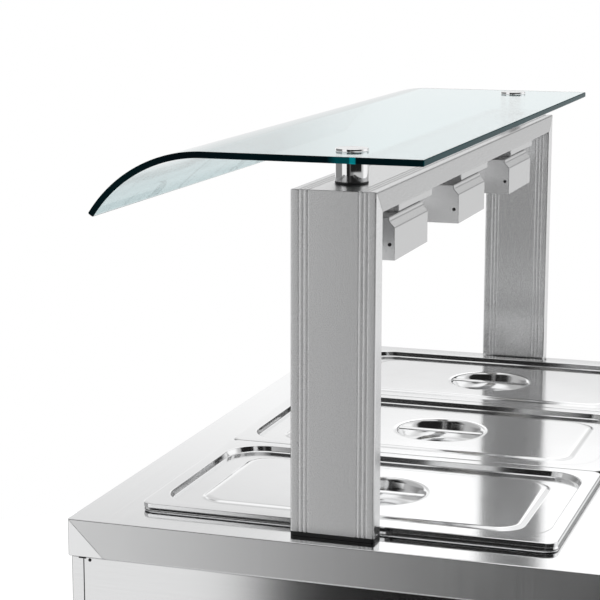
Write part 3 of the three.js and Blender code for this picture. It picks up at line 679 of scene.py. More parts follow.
def cupboard_shell():
    """The three outer panels, the base tray and the sleeves that the feet screw into."""
    folded_panel("end_panel_right", (0, -1))
    folded_panel("end_panel_left", (0, 1))
    folded_panel("customer_panel", (1, 1))
    lo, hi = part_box("base_pan")
    skirt_foot = hi.z - 22 * MM
    tray = rounded_block((lo.x, lo.y, skirt_foot), hi, PANEL_FOLD, 4, (2, -1))
    weigh(thicken(add_piece("base_pan_sheet", tray, "steel_x", replaces=("base_pan",))))
    for i in range(1, 5):
        spot = centre(f"foot_{i}")
        r = 21 * MM
        tube = [(r, lo.z, 0.6 * MM), (r, hi.z - 1.7 * MM, 0), (17.6 * MM, hi.z - 1.7 * MM, 0),
                (17.6 * MM, lo.z, 0.6 * MM)]
        add_piece(f"leg_sleeve_{i}", lathe(tube, 64, "z", (spot.x, spot.y, 0)), "steel_z")


def corner_slot_shades():
    """Black blocks under the mitre at both customer corners, painted shade for the dark slot there, each
    with a black rivet.
    """
    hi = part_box("customer_panel")[1]
    for word, side in (("right", 1), ("left", -1)):
        out, y, z = side * hi.x, hi.y - 2 * MM, APRON_FOOT - 1.4 * MM
        xs = sorted((out - side * 1 * MM, out + side * 0.9 * MM))
        slot_shade = rounded_block((xs[0], y - 4 * MM, z - 0.9 * MM), (xs[1], y + 6 * MM, z + 0.6 * MM),
                            0.4 * MM, 2)
        rivet = screw_head((out, y + 11 * MM, z - 2.2 * MM), "x", 2.2 * MM, side)
        # The block is black as painted shade for the slot under the mitre.
        add_piece(f"corner_slot_shade_{word}", merge(slot_shade, rivet), "black")


def levelling_feet():
    """A moulded foot with a grooved collar and a stem up into its sleeve."""
    for i in range(1, 5):
        node = f"foot_{i}"
        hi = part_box(node)[1]
        spot = centre(node)
        r, stem = 20.9 * MM, 16.4 * MM
        shoulder = 34.6 * MM
        profile = [(0, 0, 0), (15 * MM, 0, 1 * MM), (18 * MM, 2.5 * MM, 2 * MM), (r, 12 * MM, 3 * MM),
                   (r, 22 * MM, 0.4 * MM), (r - 1.2 * MM, 22.6 * MM, 0.3 * MM),
                   (r - 1.2 * MM, 24.4 * MM, 0.3 * MM), (r, 25 * MM, 0.4 * MM), (r, shoulder, 1 * MM),
                   (stem, shoulder, 0.5 * MM), (stem, hi.z - 1 * MM, 1 * MM), (0, hi.z, 0)]
        add_piece(f"levelling_foot_piece_{i}", lathe(profile, 64, "z", (spot.x, spot.y, 0)), "black",
                  f"levelling_foot_{i}", (node,))


def door(word):
    """A double-skinned door: rounded outer skin, lapped inner skin and a seal strip."""
    node = f"door_{word}"
    lo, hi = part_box(node)
    bm = rounded_block(lo, hi, 2.2 * MM, 5)
    back = min(bm.faces, key=lambda f: f.calc_center_median().y)
    bmesh.ops.inset_region(bm, faces=[back], thickness=11 * MM, depth=0)
    bmesh.ops.inset_region(bm, faces=[back], thickness=1.2 * MM, depth=-1 * MM)
    weigh(add_piece(f"door_skin_{word}", bm, "steel_z", node, (node,)))
    seal_width = 6 * MM
    inset = 3 * MM
    y0, y1 = lo.y - 3.2 * MM, lo.y + 0.2 * MM
    bars = [((lo.x + inset, y0, lo.z + inset), (hi.x - inset, y1, lo.z + inset + seal_width)),
            ((lo.x + inset, y0, hi.z - inset - seal_width), (hi.x - inset, y1, hi.z - inset)),
            ((lo.x + inset, y0, lo.z + inset), (lo.x + inset + seal_width, y1, hi.z - inset)),
            ((hi.x - inset - seal_width, y0, lo.z + inset), (hi.x - inset, y1, hi.z - inset))]
    seal = merge(*[rounded_block(a, b, 1.2 * MM, 3) for a, b in bars])
    add_piece(f"door_seal_{word}", seal, "black", node)


def door_handle(word):
    """A bow handle bent from bright bar, with a turned collar at each foot."""
    node = f"door_handle_{word}"
    lo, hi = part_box(node)
    x = (lo.x + hi.x) / 2
    r = 5 * MM
    face, reach = lo.y, hi.y - r
    corners = [(x, face, lo.z + r), (x, reach, lo.z + r), (x, reach, hi.z - r), (x, face, hi.z - r)]
    bar = sweep(bent_path(corners, 11 * MM, 10), r, 24)
    weigh(add_piece(f"bow_handle_{word}", bar, "mirror", f"door_{word}", (node,), 50))
    collars = [lathe([(r + 0.1 * MM, 0, 0), (r + 2 * MM, 0, 0.3 * MM), (r + 2 * MM, 1.6 * MM, 0.8 * MM),
                      (r + 0.1 * MM, 1.6 * MM, 0.2 * MM)], 32, "y", (x, face, z))
               for z in (lo.z + r + 1.9 * MM, hi.z - r - 1.9 * MM)]
    add_piece(f"handle_collars_{word}", merge(*collars), "mirror", f"door_{word}")


def bevel_node(node, finish, width):
    """A CAD node that keeps its shape, with its edges eased and its own finish."""
    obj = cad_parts[node]
    obj.data.materials.clear()
    obj.data.materials.append(FINISHES[finish][1])
    modifier = obj.modifiers.new("eased_edges", "BEVEL")
    modifier.width = width
    modifier.segments = 2
    modifier.limit_method = "ANGLE"
    modifier.angle_limit = math.radians(40)
    modifier.harden_normals = True


def boolean(base, tools, operation="DIFFERENCE"):
    """One closed body: the base with the tools cut from it or joined to it."""
    def as_object(part):
        mesh = bpy.data.meshes.new("scratch")
        bmesh.ops.recalc_face_normals(part, faces=part.faces)
        part.to_mesh(mesh)
        part.free()
        obj = bpy.data.objects.new("scratch", mesh)
        bpy.context.scene.collection.objects.link(obj)
        return obj

    body = as_object(base)
    cutters = [as_object(tool) for tool in tools]
    for cutter in cutters:
        modifier = body.modifiers.new("scratch", "BOOLEAN")
        modifier.operation = operation
        modifier.object = cutter
        modifier.solver = "EXACT"
    graph = bpy.context.evaluated_depsgraph_get()
    mesh = body.evaluated_get(graph).to_mesh()
    result = bmesh.new()
    result.from_mesh(mesh)
    for obj in (body, *cutters):
        old = obj.data
        bpy.data.objects.remove(obj)
        bpy.data.meshes.remove(old)
    bmesh.ops.remove_doubles(result, verts=result.verts, dist=1e-6)
    return result


def cylinder(axis, radius, start, end, u=0.0, v=0.0, sides=32):
    """A plain cutter along an axis."""
    at = {"x": (0, u, v), "y": (u, 0, v), "z": (u, v, 0)}[axis]
    return lathe([(0, start), (radius, start), (radius, end), (0, end)], sides, axis, at)


# ---- controls -----------------------------------------------------------------------------
def control_panel():
    """The folded panel with round and square openings for its controls, and six screws."""
    lo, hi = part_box("control_panel")
    middle = (lo + hi) / 2
    half_u, half_v = (hi.x - lo.x) / 2, (hi.z - lo.z) / 2
    bm = bmesh.new()
    rows = []
    for k in range(5):
        a = math.pi / 2 * k / 4
        inset = FOLD * (1 - math.sin(a))
        rows.append([bm.verts.new((middle.x + u, hi.y - FOLD + FOLD * math.cos(a), middle.z + v))
                     for u, v in rounded_loop(half_u - inset, half_v - inset, 2.2 * MM - inset, 4)])
    rows.append([bm.verts.new((v.co.x, lo.y, v.co.z)) for v in rows[-1]])
    holes = []
    for node, w, h, r in (("power_rocker", 7.5, 11.5, 1), ("lamp_rocker", 7.5, 11.5, 1),
                          ("thermostat_knob", 5, 5, 5), ("pilot_lamp", 5.5, 5.5, 5.5)):
        spot = centre(node)
        holes.append([bm.verts.new((spot.x + u, hi.y, CONTROL_Z + v))
                      for u, v in rounded_loop(w * MM, h * MM, r * MM, 6)])
    filled(bm, rows[0], *holes)
    for a, b in zip(rows, rows[1:]):
        walled(bm, a, b)
    sheet = add_piece("control_panel_sheet", bm, "steel_x", replaces=("control_panel",))
    weigh(thicken(sheet))
    screws = [screw_head((x, hi.y, z), "y", 3.2 * MM) for x in (-half_u + 14 * MM, 0, half_u - 14 * MM)
              for z in (lo.z + 12 * MM, hi.z - 12 * MM)]
    add_piece("control_panel_screws", merge(*screws), "mirror")


def knob():
    """The fluted knob with its pointer, and the ticks of the dial round it."""
    lo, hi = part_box("thermostat_knob")
    spot = centre("thermostat_knob")
    r = half_size("thermostat_knob").x
    sides, flutes = 120, 20
    profile = [(0, 0, 0), (1, 0, 0), (1, 3.2, 0), (0.985, 3.8, 0), (0.95, 4.2, 0), (0.84, 5.4, 0),
               (0.8, 6.4, 0.2), (0.785, 8, 1), (0.76, 21, 1), (0.745, 23.2, 0.5), (0.70, 24.6, 0),
               (0.64, 25, 0), (0.5, 24.7, 0), (0, 24.6, 0)]
    bm = bmesh.new()
    rows = []
    for share, height, fluting in profile:
        y = lo.y + height * MM
        if not share:
            rows.append([bm.verts.new((spot.x, y, spot.z))])
            continue
        row = []
        for i in range(sides):
            a = 2 * math.pi * i / sides
            dip = 1 - 0.055 * fluting * (0.5 + 0.5 * math.cos(flutes * a)) ** 3
            row.append(bm.verts.new((spot.x + r * share * dip * math.cos(a), y,
                                     spot.z + r * share * dip * math.sin(a))))
        rows.append(row)
    for low, high in zip(rows, rows[1:]):
        walled(bm, low, high)
    add_piece("knob_turning", bm, "black", "knob", ("thermostat_knob",), 40)
    mark = rounded_block((spot.x - 0.9 * MM, lo.y + 24.3 * MM, spot.z + 1.5 * MM),
                         (spot.x + 0.9 * MM, hi.y - 0.9 * MM, spot.z + r * 0.66), 0.4 * MM, 2)
    add_piece("knob_pointer", mark, "white", "knob")
    ticks = []
    for k in range(11):
        angle = math.radians(90 - 27 * k)
        long = 5 if k % 5 == 0 else 3
        block = rounded_block((r + 3 * MM, -0.4 * MM, -0.45 * MM),
                              (r + (3 + long) * MM, 0.25 * MM, 0.45 * MM), 0.15 * MM, 1)
        place = Matrix.Translation((spot.x, PANEL_FACE, spot.z)) @ Matrix.Rotation(-angle, 4, "Y")
        ticks.append(moved(block, place))
    add_piece("dial_ticks", merge(*ticks), "black")


def rocker(node, body, finish):
    """A leaning rocker cap inside its moulded bezel."""
    spot = centre(node)
    outline = [(-9, -0.6), (9, -0.6), (9, 4.3), (0, 3), (-9, 4.3)]
    bm = bmesh.new()
    ends = [[bm.verts.new((x * MM, y * MM, z * MM)) for y, z in outline] for x in (-6, 6)]
    walled(bm, *ends)
    for end in ends:
        bm.faces.new(end)
    bmesh.ops.recalc_face_normals(bm, faces=bm.faces)
    rounded(bm, bm.edges[:], 0.7 * MM)
    tilt = Matrix.Rotation(math.radians(-90 - ROCKER_TILT), 4, "X")
    place = Matrix.Translation((spot.x, PANEL_FACE - 1 * MM, CONTROL_Z)) @ tilt
    weigh(add_piece(f"{node}_cap", moved(bm, place), finish, body, (node,)))
    rings = eased([(10, 14, 2.5, 0, 0), (10, 14, 2.5, 1.4, 0.5), (9.2, 13.2, 1.8, 2.2, 0.3),
                   (7.3, 11.3, 1, 2.2, 0.3), (7.3, 11.3, 1, -4, 0), (7.45, 11.45, 1, -4, 0),
                   (7.45, 11.45, 1, 0, 0)], 3)
    place = Matrix.Translation((spot.x, PANEL_FACE, CONTROL_Z)) @ Matrix.Rotation(-math.pi / 2, 4, "X")
    add_piece(f"{node}_bezel", moved(loft(mm(rings), steps=6, close=False), place), "black")


def pilot_lamp():
    """A domed lens in a turned bezel."""
    spot = centre("pilot_lamp")
    at = (spot.x, PANEL_FACE, spot.z)
    stem = [(5.1, -18), (5.1, 0), (7.2, 0), (7.2, 1.2, 0.5), (6.4, 2.2, 0.5), (5.2, 2.2, 0.3), (4.3, 0.8),
            (4.3, -18)]
    add_piece("pilot_bezel", lathe(mm(stem), 48, "y", at), "mirror")
    dome = [(0, 0), (4.2, 0), (4.2, 3.2, 1.2), (3, 5, 1.5), (0, 5.6)]
    add_piece("pilot_lens", lathe(mm(dome), 40, "y", at), "amber",
              replaces=("pilot_lamp",))


# ---- well, element and drain ----------------------------------------------------------------
def well_tank():
    """The drawn tub with its rim, and the openings for the element and the drain."""
    lo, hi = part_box("well_tank")
    hole_x, hole_y = hi.x - WELL_RIM, hi.y - WELL_RIM
    r, sheet = 20 * MM, SHEET
    floor, top, rim = lo.z + sheet, hi.z, WELL_RIM
    rings = eased([
        (hole_x - 12 * MM, hole_y - 12 * MM, r, floor - sheet, 0),
        (hole_x + sheet, hole_y + sheet, r + sheet, floor + 12 * MM, 6 * MM),
        (hole_x + sheet, hole_y + sheet, r + sheet, top - sheet, 1 * MM),
        (hole_x + rim, hole_y + rim, r + rim, top - sheet, 0.3 * MM),
        (hole_x + rim, hole_y + rim, r + rim, top, 0.3 * MM),
        (hole_x, hole_y, r, top, 2 * MM),
        (hole_x, hole_y, r, floor + 12 * MM, 6 * MM),
        (hole_x - 12 * MM, hole_y - 12 * MM, r - 2 * MM, floor, 0)], 4)
    tub = loft(rings, steps=8)
    drain = centre("drain_pipe")
    rod_z = floor + 24 * MM
    ports = [cylinder("x", 5.5 * MM, hole_x - 5 * MM, hole_x + 5 * MM, side * ELEMENT_OUTER, rod_z)
             for side in (-1, 1)]
    outlet = cylinder("z", 14.1 * MM, floor - 5 * MM, floor + 5 * MM, drain.x, drain.y)
    weigh(add_piece("well_tub", boolean(tub, [outlet, *ports]), "steel_x", replaces=("well_tank",)))


def heating_element():
    """The bent sheath rod, its fixing nuts outside the tub and the saddles under it."""
    lo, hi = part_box("heating_element")
    z = (lo.z + hi.z) / 2
    r = (hi.z - lo.z) / 2
    outer_y, inner_y, far, turn = ELEMENT_OUTER, 70 * MM, -400 * MM, 400 * MM
    loop_radius = (outer_y - inner_y) / 2

    def half_turn(x, y, radius, side):
        return [(x + side * radius * math.cos(a), y + radius * math.sin(a), z)
                for a in (math.pi / 2 - math.pi * k / 16 for k in range(17))]

    path = [(hi.x - 1 * MM, outer_y, z), *half_turn(far, outer_y - loop_radius, loop_radius, -1),
            *half_turn(turn, 0, inner_y, 1),
            *half_turn(far, -outer_y + loop_radius, loop_radius, -1),
            (hi.x - 1 * MM, -outer_y, z)]
    rod = sweep(path, r, 20)
    add_piece("element_rod", rod, "element", replaces=("heating_element",), sharp=50)
    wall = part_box("well_tank")[1].x - WELL_RIM
    nuts = []
    for side in (-1, 1):
        nut = [(r + 0.2 * MM, 0), (11 * MM, 0), (11 * MM, 5 * MM, 0.8 * MM), (8 * MM, 7 * MM, 0.8 * MM),
               (r + 0.2 * MM, 7 * MM)]
        nuts.append(lathe(nut, 6, "x", (wall + 2.2 * MM, side * outer_y, z)))
    add_piece("element_nuts", merge(*nuts), "brass", sharp=25)
    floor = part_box("well_tank")[0].z + SHEET
    saddles = []
    for x in (-250 * MM, 0, 250 * MM):
        saddles.append(rounded_block((x - 5 * MM, -outer_y - 8 * MM, floor + 0.4 * MM),
                                     (x + 5 * MM, outer_y + 8 * MM, floor + 2 * MM), 0.5 * MM, 2))
        for y in (-outer_y, -inner_y, inner_y, outer_y):
            saddles.append(rounded_block((x - 5 * MM, y - 1.5 * MM, floor + 1.6 * MM),
                                         (x + 5 * MM, y + 1.5 * MM, z - r + 0.1 * MM), 0.4 * MM, 2))
    add_piece("element_saddles", merge(*saddles), "steel_y")


def drain():
    """The drain pipe, the valve casting, its ball on a stem, and the lever with its grip."""
    lo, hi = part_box("drain_pipe")
    spot = centre("drain_pipe")
    at = (spot.x, spot.y, 0)
    outer, bore = 13.5 * MM, 10.5 * MM
    pipe = [(bore, lo.z), (outer, lo.z), (outer, hi.z - 1 * MM), (outer + 1 * MM, hi.z - 0.2 * MM),
            (outer + 1 * MM, hi.z, 0.2 * MM), (bore, hi.z, 0.8 * MM)]
    add_piece("drain_tube", lathe(pipe, 48, "z", at), "steel_z", replaces=("drain_pipe",))
    v_lo, v_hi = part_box("drain_valve_body")
    mid = (v_lo.z + v_hi.z) / 2
    casting = [(9, -25, 0), (17, -25, 0.8), (17, -19, 0.6), (18, -18.4, 0.5), (20.6, -15, 3),
               (21, -8, 4), (21, 8, 4), (20.6, 15, 3), (18, 18.4, 0.5), (17, 19, 0.6), (17, 25, 0.8),
               (9, 25, 0.6)]
    body = lathe(mm(casting), 48, "z", (spot.x, spot.y, mid))
    neck = lathe(mm([(4.6, 12), (10, 12), (10, 27, 0.5), (8.6, 28.5, 0.5), (8.6, 30, 0.4),
                     (4.6, 30, 0.3)]), 32, "y", (spot.x, spot.y, mid))
    add_piece("valve_casting", boolean(body, [neck], "UNION"), "brass", replaces=("drain_valve_body",),
              sharp=30)
    stem = lathe(mm([(0, 11), (4, 11, 0.3), (4, 39, 0.6), (0, 39.6)]), 24, "y", (spot.x, spot.y, mid))
    ball = lathe([(14 * MM * math.sin(math.pi * k / 24), -14 * MM * math.cos(math.pi * k / 24))
                  for k in range(25)], 40, "y", (spot.x, spot.y, mid))
    through = cylinder("x", 9 * MM, spot.x - 20 * MM, spot.x + 20 * MM, spot.y, mid, 40)
    add_piece("valve_ball", boolean(boolean(ball, [through]), [stem], "UNION"), "mirror", "drain_handle",
              ("drain_ball",), 40)
    l_lo, l_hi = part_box("drain_lever")
    y0 = l_lo.y + 3 * MM
    bar = rounded_block((l_lo.x + 6 * MM, y0, mid - 8 * MM), (l_hi.x, y0 + 3 * MM, mid + 8 * MM),
                        0.8 * MM)
    hole = cylinder("y", 4.4 * MM, y0 - 1 * MM, y0 + 4 * MM, spot.x, mid)
    add_piece("lever_bar", boolean(bar, [hole]), "steel_x", "drain_handle", (), 30)
    grip = rounded_block((l_lo.x, l_lo.y, l_lo.z), (l_lo.x + 57 * MM, l_hi.y, l_hi.z), 2.8 * MM, 5)
    slot_room = rounded_block((l_lo.x + 5.7 * MM, y0 - 0.2 * MM, mid - 8.2 * MM),
                              (l_lo.x + 60 * MM, y0 + 3.2 * MM, mid + 8.2 * MM), 0.6 * MM, 2)
    ribs = [cylinder("z", 1 * MM, l_lo.z - 2 * MM, l_hi.z + 2 * MM, l_lo.x + (16 + 4 * k) * MM,
                     l_hi.y + 0.45 * MM, 16) for k in range(7)]
    weigh(add_piece("lever_grip", boolean(grip, [slot_room, *ribs]), "red", "drain_handle",
                    ("drain_lever",), 40))
    nut = lathe(mm([(4.1, 34.2), (7, 34.2, 0.4), (7, 38.6, 0.9), (4.1, 38.6)]), 6, "y",
                (spot.x, spot.y, mid))
    add_piece("lever_nut", nut, "mirror", "drain_handle", (), 25)


def cable_gland():
    """A hexagonal gland with a round dome nut under the base tray."""
    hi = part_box("cable_gland")[1]
    spot = centre("cable_gland")
    under = hi.z - 6.0 * MM - SHEET
    profile = [(4.5, -26, 0.4), (7.6, -26, 0.8), (10.6, -20.5, 2), (11, -19, 0.3), (13.4, -18, 0.4),
               (13.4, -0.4, 0.4), (10, -0.4), (10, 1.9), (13.4, 1.9, 0.4), (13.4, 7.3, 0.6),
               (4.5, 7.3, 0.6)]
    bm = lathe(mm(profile), 6, "z", (spot.x, spot.y, under))
    round_nut = lathe(mm([(4.6, -25.8, 0.4), (8.4, -25.8, 1.2), (11.9, -17.5, 1.5), (11.9, -6, 0.4),
                          (4.6, -6)]), 40, "z", (spot.x, spot.y, under))
    add_piece("gland_nut", boolean(bm, [round_nut], "UNION"), "black", replaces=("cable_gland",), sharp=30)


# ---- pans and lids --------------------------------------------------------------------------
WALL = 1.2  # thickness of a pan or lid in millimetres


def food_pan(i):
    """A drawn pan: outside up to the rim, over it, and down the inside."""
    node = f"food_pan_{i}"
    lo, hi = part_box(node)
    spot, half = centre(node), half_size(node)
    seat, rim, floor = hi.z - 3.5 * MM, hi.z, lo.z

    def ring(inset_x, inset_y, radius, z, ease):
        return (half.x - inset_x * MM, half.y - inset_y * MM, radius * MM, z, ease * MM)

    rings = eased([
        ring(31, 31, 34, floor, 0), ring(20, 20, 44, floor + 12 * MM, 7),
        ring(12, 13, 48, seat, 1.6), ring(0, 0, 16, seat, 0.8),
        ring(1.8, 1.8, 15, rim, 0.5), ring(12, 13, 48, rim, 4),
        ring(20 + WALL, 20 + WALL, 43, floor + (12 + WALL) * MM, 7),
        ring(31 + WALL, 31 + WALL, 33, floor + WALL * MM, 0)], 5)
    pan = loft(rings, (spot.x, spot.y), 12)
    weigh(add_piece(f"pan_{i}_drawn", pan, "bright", f"pan_{i}", (node,), 50))


def pan_lid(i):
    """A pressed lid: up the underside from the dish to the flange, and back over the top."""
    node = f"pan_lid_{i}"
    spot, half = centre(node), half_size(node)
    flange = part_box(node)[1].z
    seat = flange - 5.6 * MM
    channel, plateau = flange - 7.6 * MM, flange - 4.8 * MM
    bottom = plateau - 27 * MM
    thick = WALL * MM

    def dish(inset, z, ease):
        radius = (64 - inset) * MM
        return (radius, radius, radius, z, ease * MM)

    def ring(inset_x, inset_y, radius, z, ease):
        return (half.x - inset_x * MM, half.y - inset_y * MM, radius * MM, z, ease * MM)

    rings = eased([
        dish(26 + WALL, bottom - thick, 0), dish(8, bottom + 8 * MM - thick, 9),
        dish(2 - WALL, plateau - 3 * MM - thick, 2), dish(-WALL, plateau - thick, 0.5),
        ring(58.4, 59, 27, plateau - thick, 1), ring(54.2, 55, 30, channel - thick, 1),
        ring(18.8, 18.6, 50, channel - thick, 1), ring(16.3, 16.2, 51, flange - thick, 0.8),
        ring(WALL, WALL, 13, flange - thick, 0.6), ring(WALL, WALL, 13, seat, 0.3),
        ring(0, 0, 14, seat, 0.3), ring(0, 0, 14, flange, 1.5),
        ring(17.5, 17.4, 50, flange, 0.9), ring(20, 19.8, 49, channel, 1.2),
        ring(54.2, 55, 30, channel, 2), ring(58.4, 59, 27, plateau, 2),
        dish(0, plateau, 1.6), dish(3, plateau - 3.6 * MM, 2),
        dish(8 + WALL, bottom + 8 * MM, 9), dish(26 + WALL, bottom, 0)], 5)
    lid = loft(rings, (spot.x, spot.y), 14)
    weigh(add_piece(f"lid_{i}_pressed", lid, "bright", f"lid_{i}", (node,), 50))


def lid_strap(i):
    """The flat strap handle across the dish of a lid."""
    node = f"lid_handle_{i}"
    lo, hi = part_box(node)
    spot = centre(node)
    x, y = (hi.x - lo.x) / 2, (hi.y - lo.y) / 2
    rings = eased([(x - 0.5 * MM, y, 1.2 * MM, lo.z, 0), (x, y, 1.2 * MM, lo.z, 0.4 * MM),
                   (x, y, 1.2 * MM, hi.z - 0.5 * MM, 0.6 * MM), (x - 1.6 * MM, y, 1 * MM, hi.z, 0.8 * MM),
                   (0.5 * MM, y, 0.4 * MM, hi.z, 0)], 3)
    strap = loft(rings, (spot.x, spot.y), 4)
    weigh(add_piece(f"lid_{i}_strap", strap, "mirror", f"lid_{i}", (node,), 50))


# ---- gantry ---------------------------------------------------------------------------------
GROOVE_OFFSETS = (10.5, 16.0, 21.5)
PROFILE_HALF_T = 13.5 * MM
PROFILE_HALF_W = 52.5 * MM
PROFILE_WALL = 2.5 * MM


def grooved_section(half_t, half_w):
    """A rounded flat tube section (thickness, width) with die-cut grooves beside its edges."""
    r, deep = 2.2 * MM, 1.0 * MM
    corner = rounded_loop(half_t, half_w, r, 8)
    count = len(corner) // 4
    first, second, third, fourth = (corner[i * count:(i + 1) * count] for i in range(4))

    def grooves(face, positions, direction):
        inward = -1 if face > 0 else 1
        shape = ((-1.35, 0), (-1.05, 0.12), (-0.6, 0.85), (-0.2, 1), (0.2, 1), (0.6, 0.85),
                 (1.05, 0.12), (1.35, 0))
        return [(face + inward * deep * depth, w + direction * along * MM)
                for w in positions for along, depth in shape]

    upper = [half_w - offset * MM for offset in GROOVE_OFFSETS]
    places = upper + [-place for place in reversed(upper)]
    return [*first, *second, *grooves(-half_t, places, -1),
            *third, *fourth, *grooves(half_t, places[::-1], 1)]


def extruded_profile(place):
    """The hollow profile between its two end planes; place(t, w, end) gives each point."""
    half_t, half_w = PROFILE_HALF_T, PROFILE_HALF_W
    bm = bmesh.new()
    ends = ([], [])
    for section in (grooved_section(half_t, half_w),
                    rounded_loop(half_t - PROFILE_WALL, half_w - PROFILE_WALL, 1 * MM, 6)):
        pair = [[bm.verts.new(place(t, w, end)) for t, w in section] for end in (0, 1)]
        walled(bm, *pair)
        for end, loop in zip(ends, pair):
            end.append(loop)
    for end in ends:
        filled(bm, *end)
    return bm


def gantry():
    """The beam and both posts, mitred into each other, with a gasket under each post."""
    beam_lo, beam_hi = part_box("gantry_beam")
    middle = (beam_lo.z + beam_hi.z) / 2
    reach = beam_hi.x - 0.1 * MM
    half_t = PROFILE_HALF_T

    def beam_place(t, w, end):
        side = 1 if end else -1
        return (side * (reach - (half_t - t)), w, middle + t)

    beam = extruded_profile(beam_place)
    weigh(add_piece("beam_extrusion", beam, "profile_x", replaces=("gantry_beam",)))
    for i, side in ((1, 1), (2, -1)):
        node = f"gantry_post_{i}"
        lo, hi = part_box(node)
        x = (lo.x + hi.x) / 2

        def post_place(t, w, end, side=side, lo=lo, x=x):
            top = beam_hi.z - 0.4 * MM - (half_t - side * t)
            return (x + t, w, top if end else lo.z)

        weigh(add_piece(f"post_extrusion_{i}", extruded_profile(post_place), "profile_z", replaces=(node,)))
        g_lo, g_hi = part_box(f"post_gasket_{i}")
        half = half_size(f"post_gasket_{i}")
        rings = eased([(half.x, half.y, 5 * MM, g_lo.z, 0), (half.x, half.y, 5 * MM, g_hi.z, 0.8 * MM),
                       (half.x - 2 * MM, half.y - 2 * MM, 3 * MM, g_hi.z, 0)], 4)
        pad = loft(rings, (centre(f"post_gasket_{i}").x, 0), 8)
        weigh(add_piece(f"gasket_{i}", pad, "black", replaces=(f"post_gasket_{i}",)))


def standoffs():
    """A turned standoff, a washer under the glass and a turned cap over it, at both ends."""
    for i in (1, 2):
        node = f"standoff_{i}"
        lo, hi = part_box(node)
        spot = centre(node)
        r = half_size(node).x
        at = (spot.x, spot.y, 0)
        ease = 0.7 * MM
        body = [(5.5 * MM, lo.z), (r, lo.z, ease), (r, hi.z, ease), (5.5 * MM, hi.z)]
        add_piece(f"standoff_turning_{i}", lathe(body, 96, "z", at), "mirror", replaces=(node,), sharp=30)
        w_lo, w_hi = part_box(f"standoff_washer_{i}")
        wr = half_size(f"standoff_washer_{i}").x
        ring = [(6 * MM, w_lo.z), (wr, w_lo.z, 0.5 * MM), (wr, w_hi.z, 0.5 * MM), (6 * MM, w_hi.z)]
        add_piece(f"washer_{i}", lathe(ring, 96, "z", at), "black", replaces=(f"standoff_washer_{i}",))
        c_lo, c_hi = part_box(f"glass_cap_{i}")
        base = c_hi.z - 3 * MM
        cap = [(0, c_lo.z), (4.6 * MM, c_lo.z, 0.4 * MM), (5 * MM, c_lo.z + 1.2 * MM), (5 * MM, base),
               (r, base, 0.3 * MM), (r, c_hi.z, 0.8 * MM), (0, c_hi.z)]
        add_piece(f"cap_turning_{i}", lathe(cap, 96, "z", at), "mirror", replaces=(f"glass_cap_{i}",))


GLASS_THICKNESS = 8 * MM
GLASS_RADIUS = 177 * MM
GLASS_ANGLE = math.radians(57)
GLASS_BEND_Y = -165 * MM


def glass_section(inset):
    """The bent sheet's outline in (y, z), drawn in all round by inset, with arrised corners."""
    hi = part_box("glass_canopy")[1]
    t, radius, angle = GLASS_THICKNESS, GLASS_RADIUS, GLASS_ANGLE
    arris = 1.1 * MM
    top, bottom = hi.z - inset, hi.z - t + inset
    edge = hi.y - inset
    mid_z = hi.z - radius
    outer, inner = radius - inset, radius - t + inset
    short = angle - inset / radius
    steps = 48

    def at(r, a):
        return (GLASS_BEND_Y - r * math.sin(a), mid_z + r * math.cos(a))

    points = [(edge - arris, bottom), (edge, bottom + arris), (edge, top - arris), (edge - arris, top)]
    points += [at(outer, (short - arris / outer) * k / steps) for k in range(steps + 1)]
    points += [at(outer - arris, short), at(inner + arris, short)]
    points += [at(inner, (short - arris / inner) * (steps - k) / steps) for k in range(steps + 1)]
    return points


def glass_canopy():
    """The bent sheet with arrised ends and two holes; its polished edges have a second material."""
    lo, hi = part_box("glass_canopy")
    arris = 1.0 * MM
    bm = bmesh.new()
    rows = [[bm.verts.new((x, y, z)) for y, z in glass_section(inset)]
            for x, inset in ((lo.x, arris), (lo.x + arris, 0), (hi.x - arris, 0), (hi.x, arris))]
    for a, b in zip(rows, rows[1:]):
        walled(bm, a, b)
    filled(bm, rows[0])
    filled(bm, rows[-1])
    holes = [cylinder("z", 7 * MM, hi.z - 12 * MM, hi.z + 4 * MM, centre(f"standoff_{i}").x, 0, 40)
             for i in (1, 2)]
    sheet = add_piece("canopy_sheet", boolean(bm, holes), "glass", replaces=("glass_canopy",), sharp=25)
    # The edge faces take the second material: near black as painted shade, teal as painted light near the
    # standoffs.
    sheet.data.materials.append(FINISHES["glass_edge"][1])
    sheet.visible_glossy = False
    tip = min(v.co.z for v in sheet.data.vertices) + 6 * MM
    for face in sheet.data.polygons:
        at_end = abs(face.normal.x) > 0.5 and abs(face.center.x) > hi.x - 2 * MM
        at_tip = face.center.z < tip and face.normal.z < -0.3 and -0.9 < face.normal.y < 0.4
        at_operator = face.center.y > hi.y - 2 * MM and face.normal.y > 0.5
        if at_end or at_tip or at_operator:
            face.material_index = 1
    weigh(sheet)


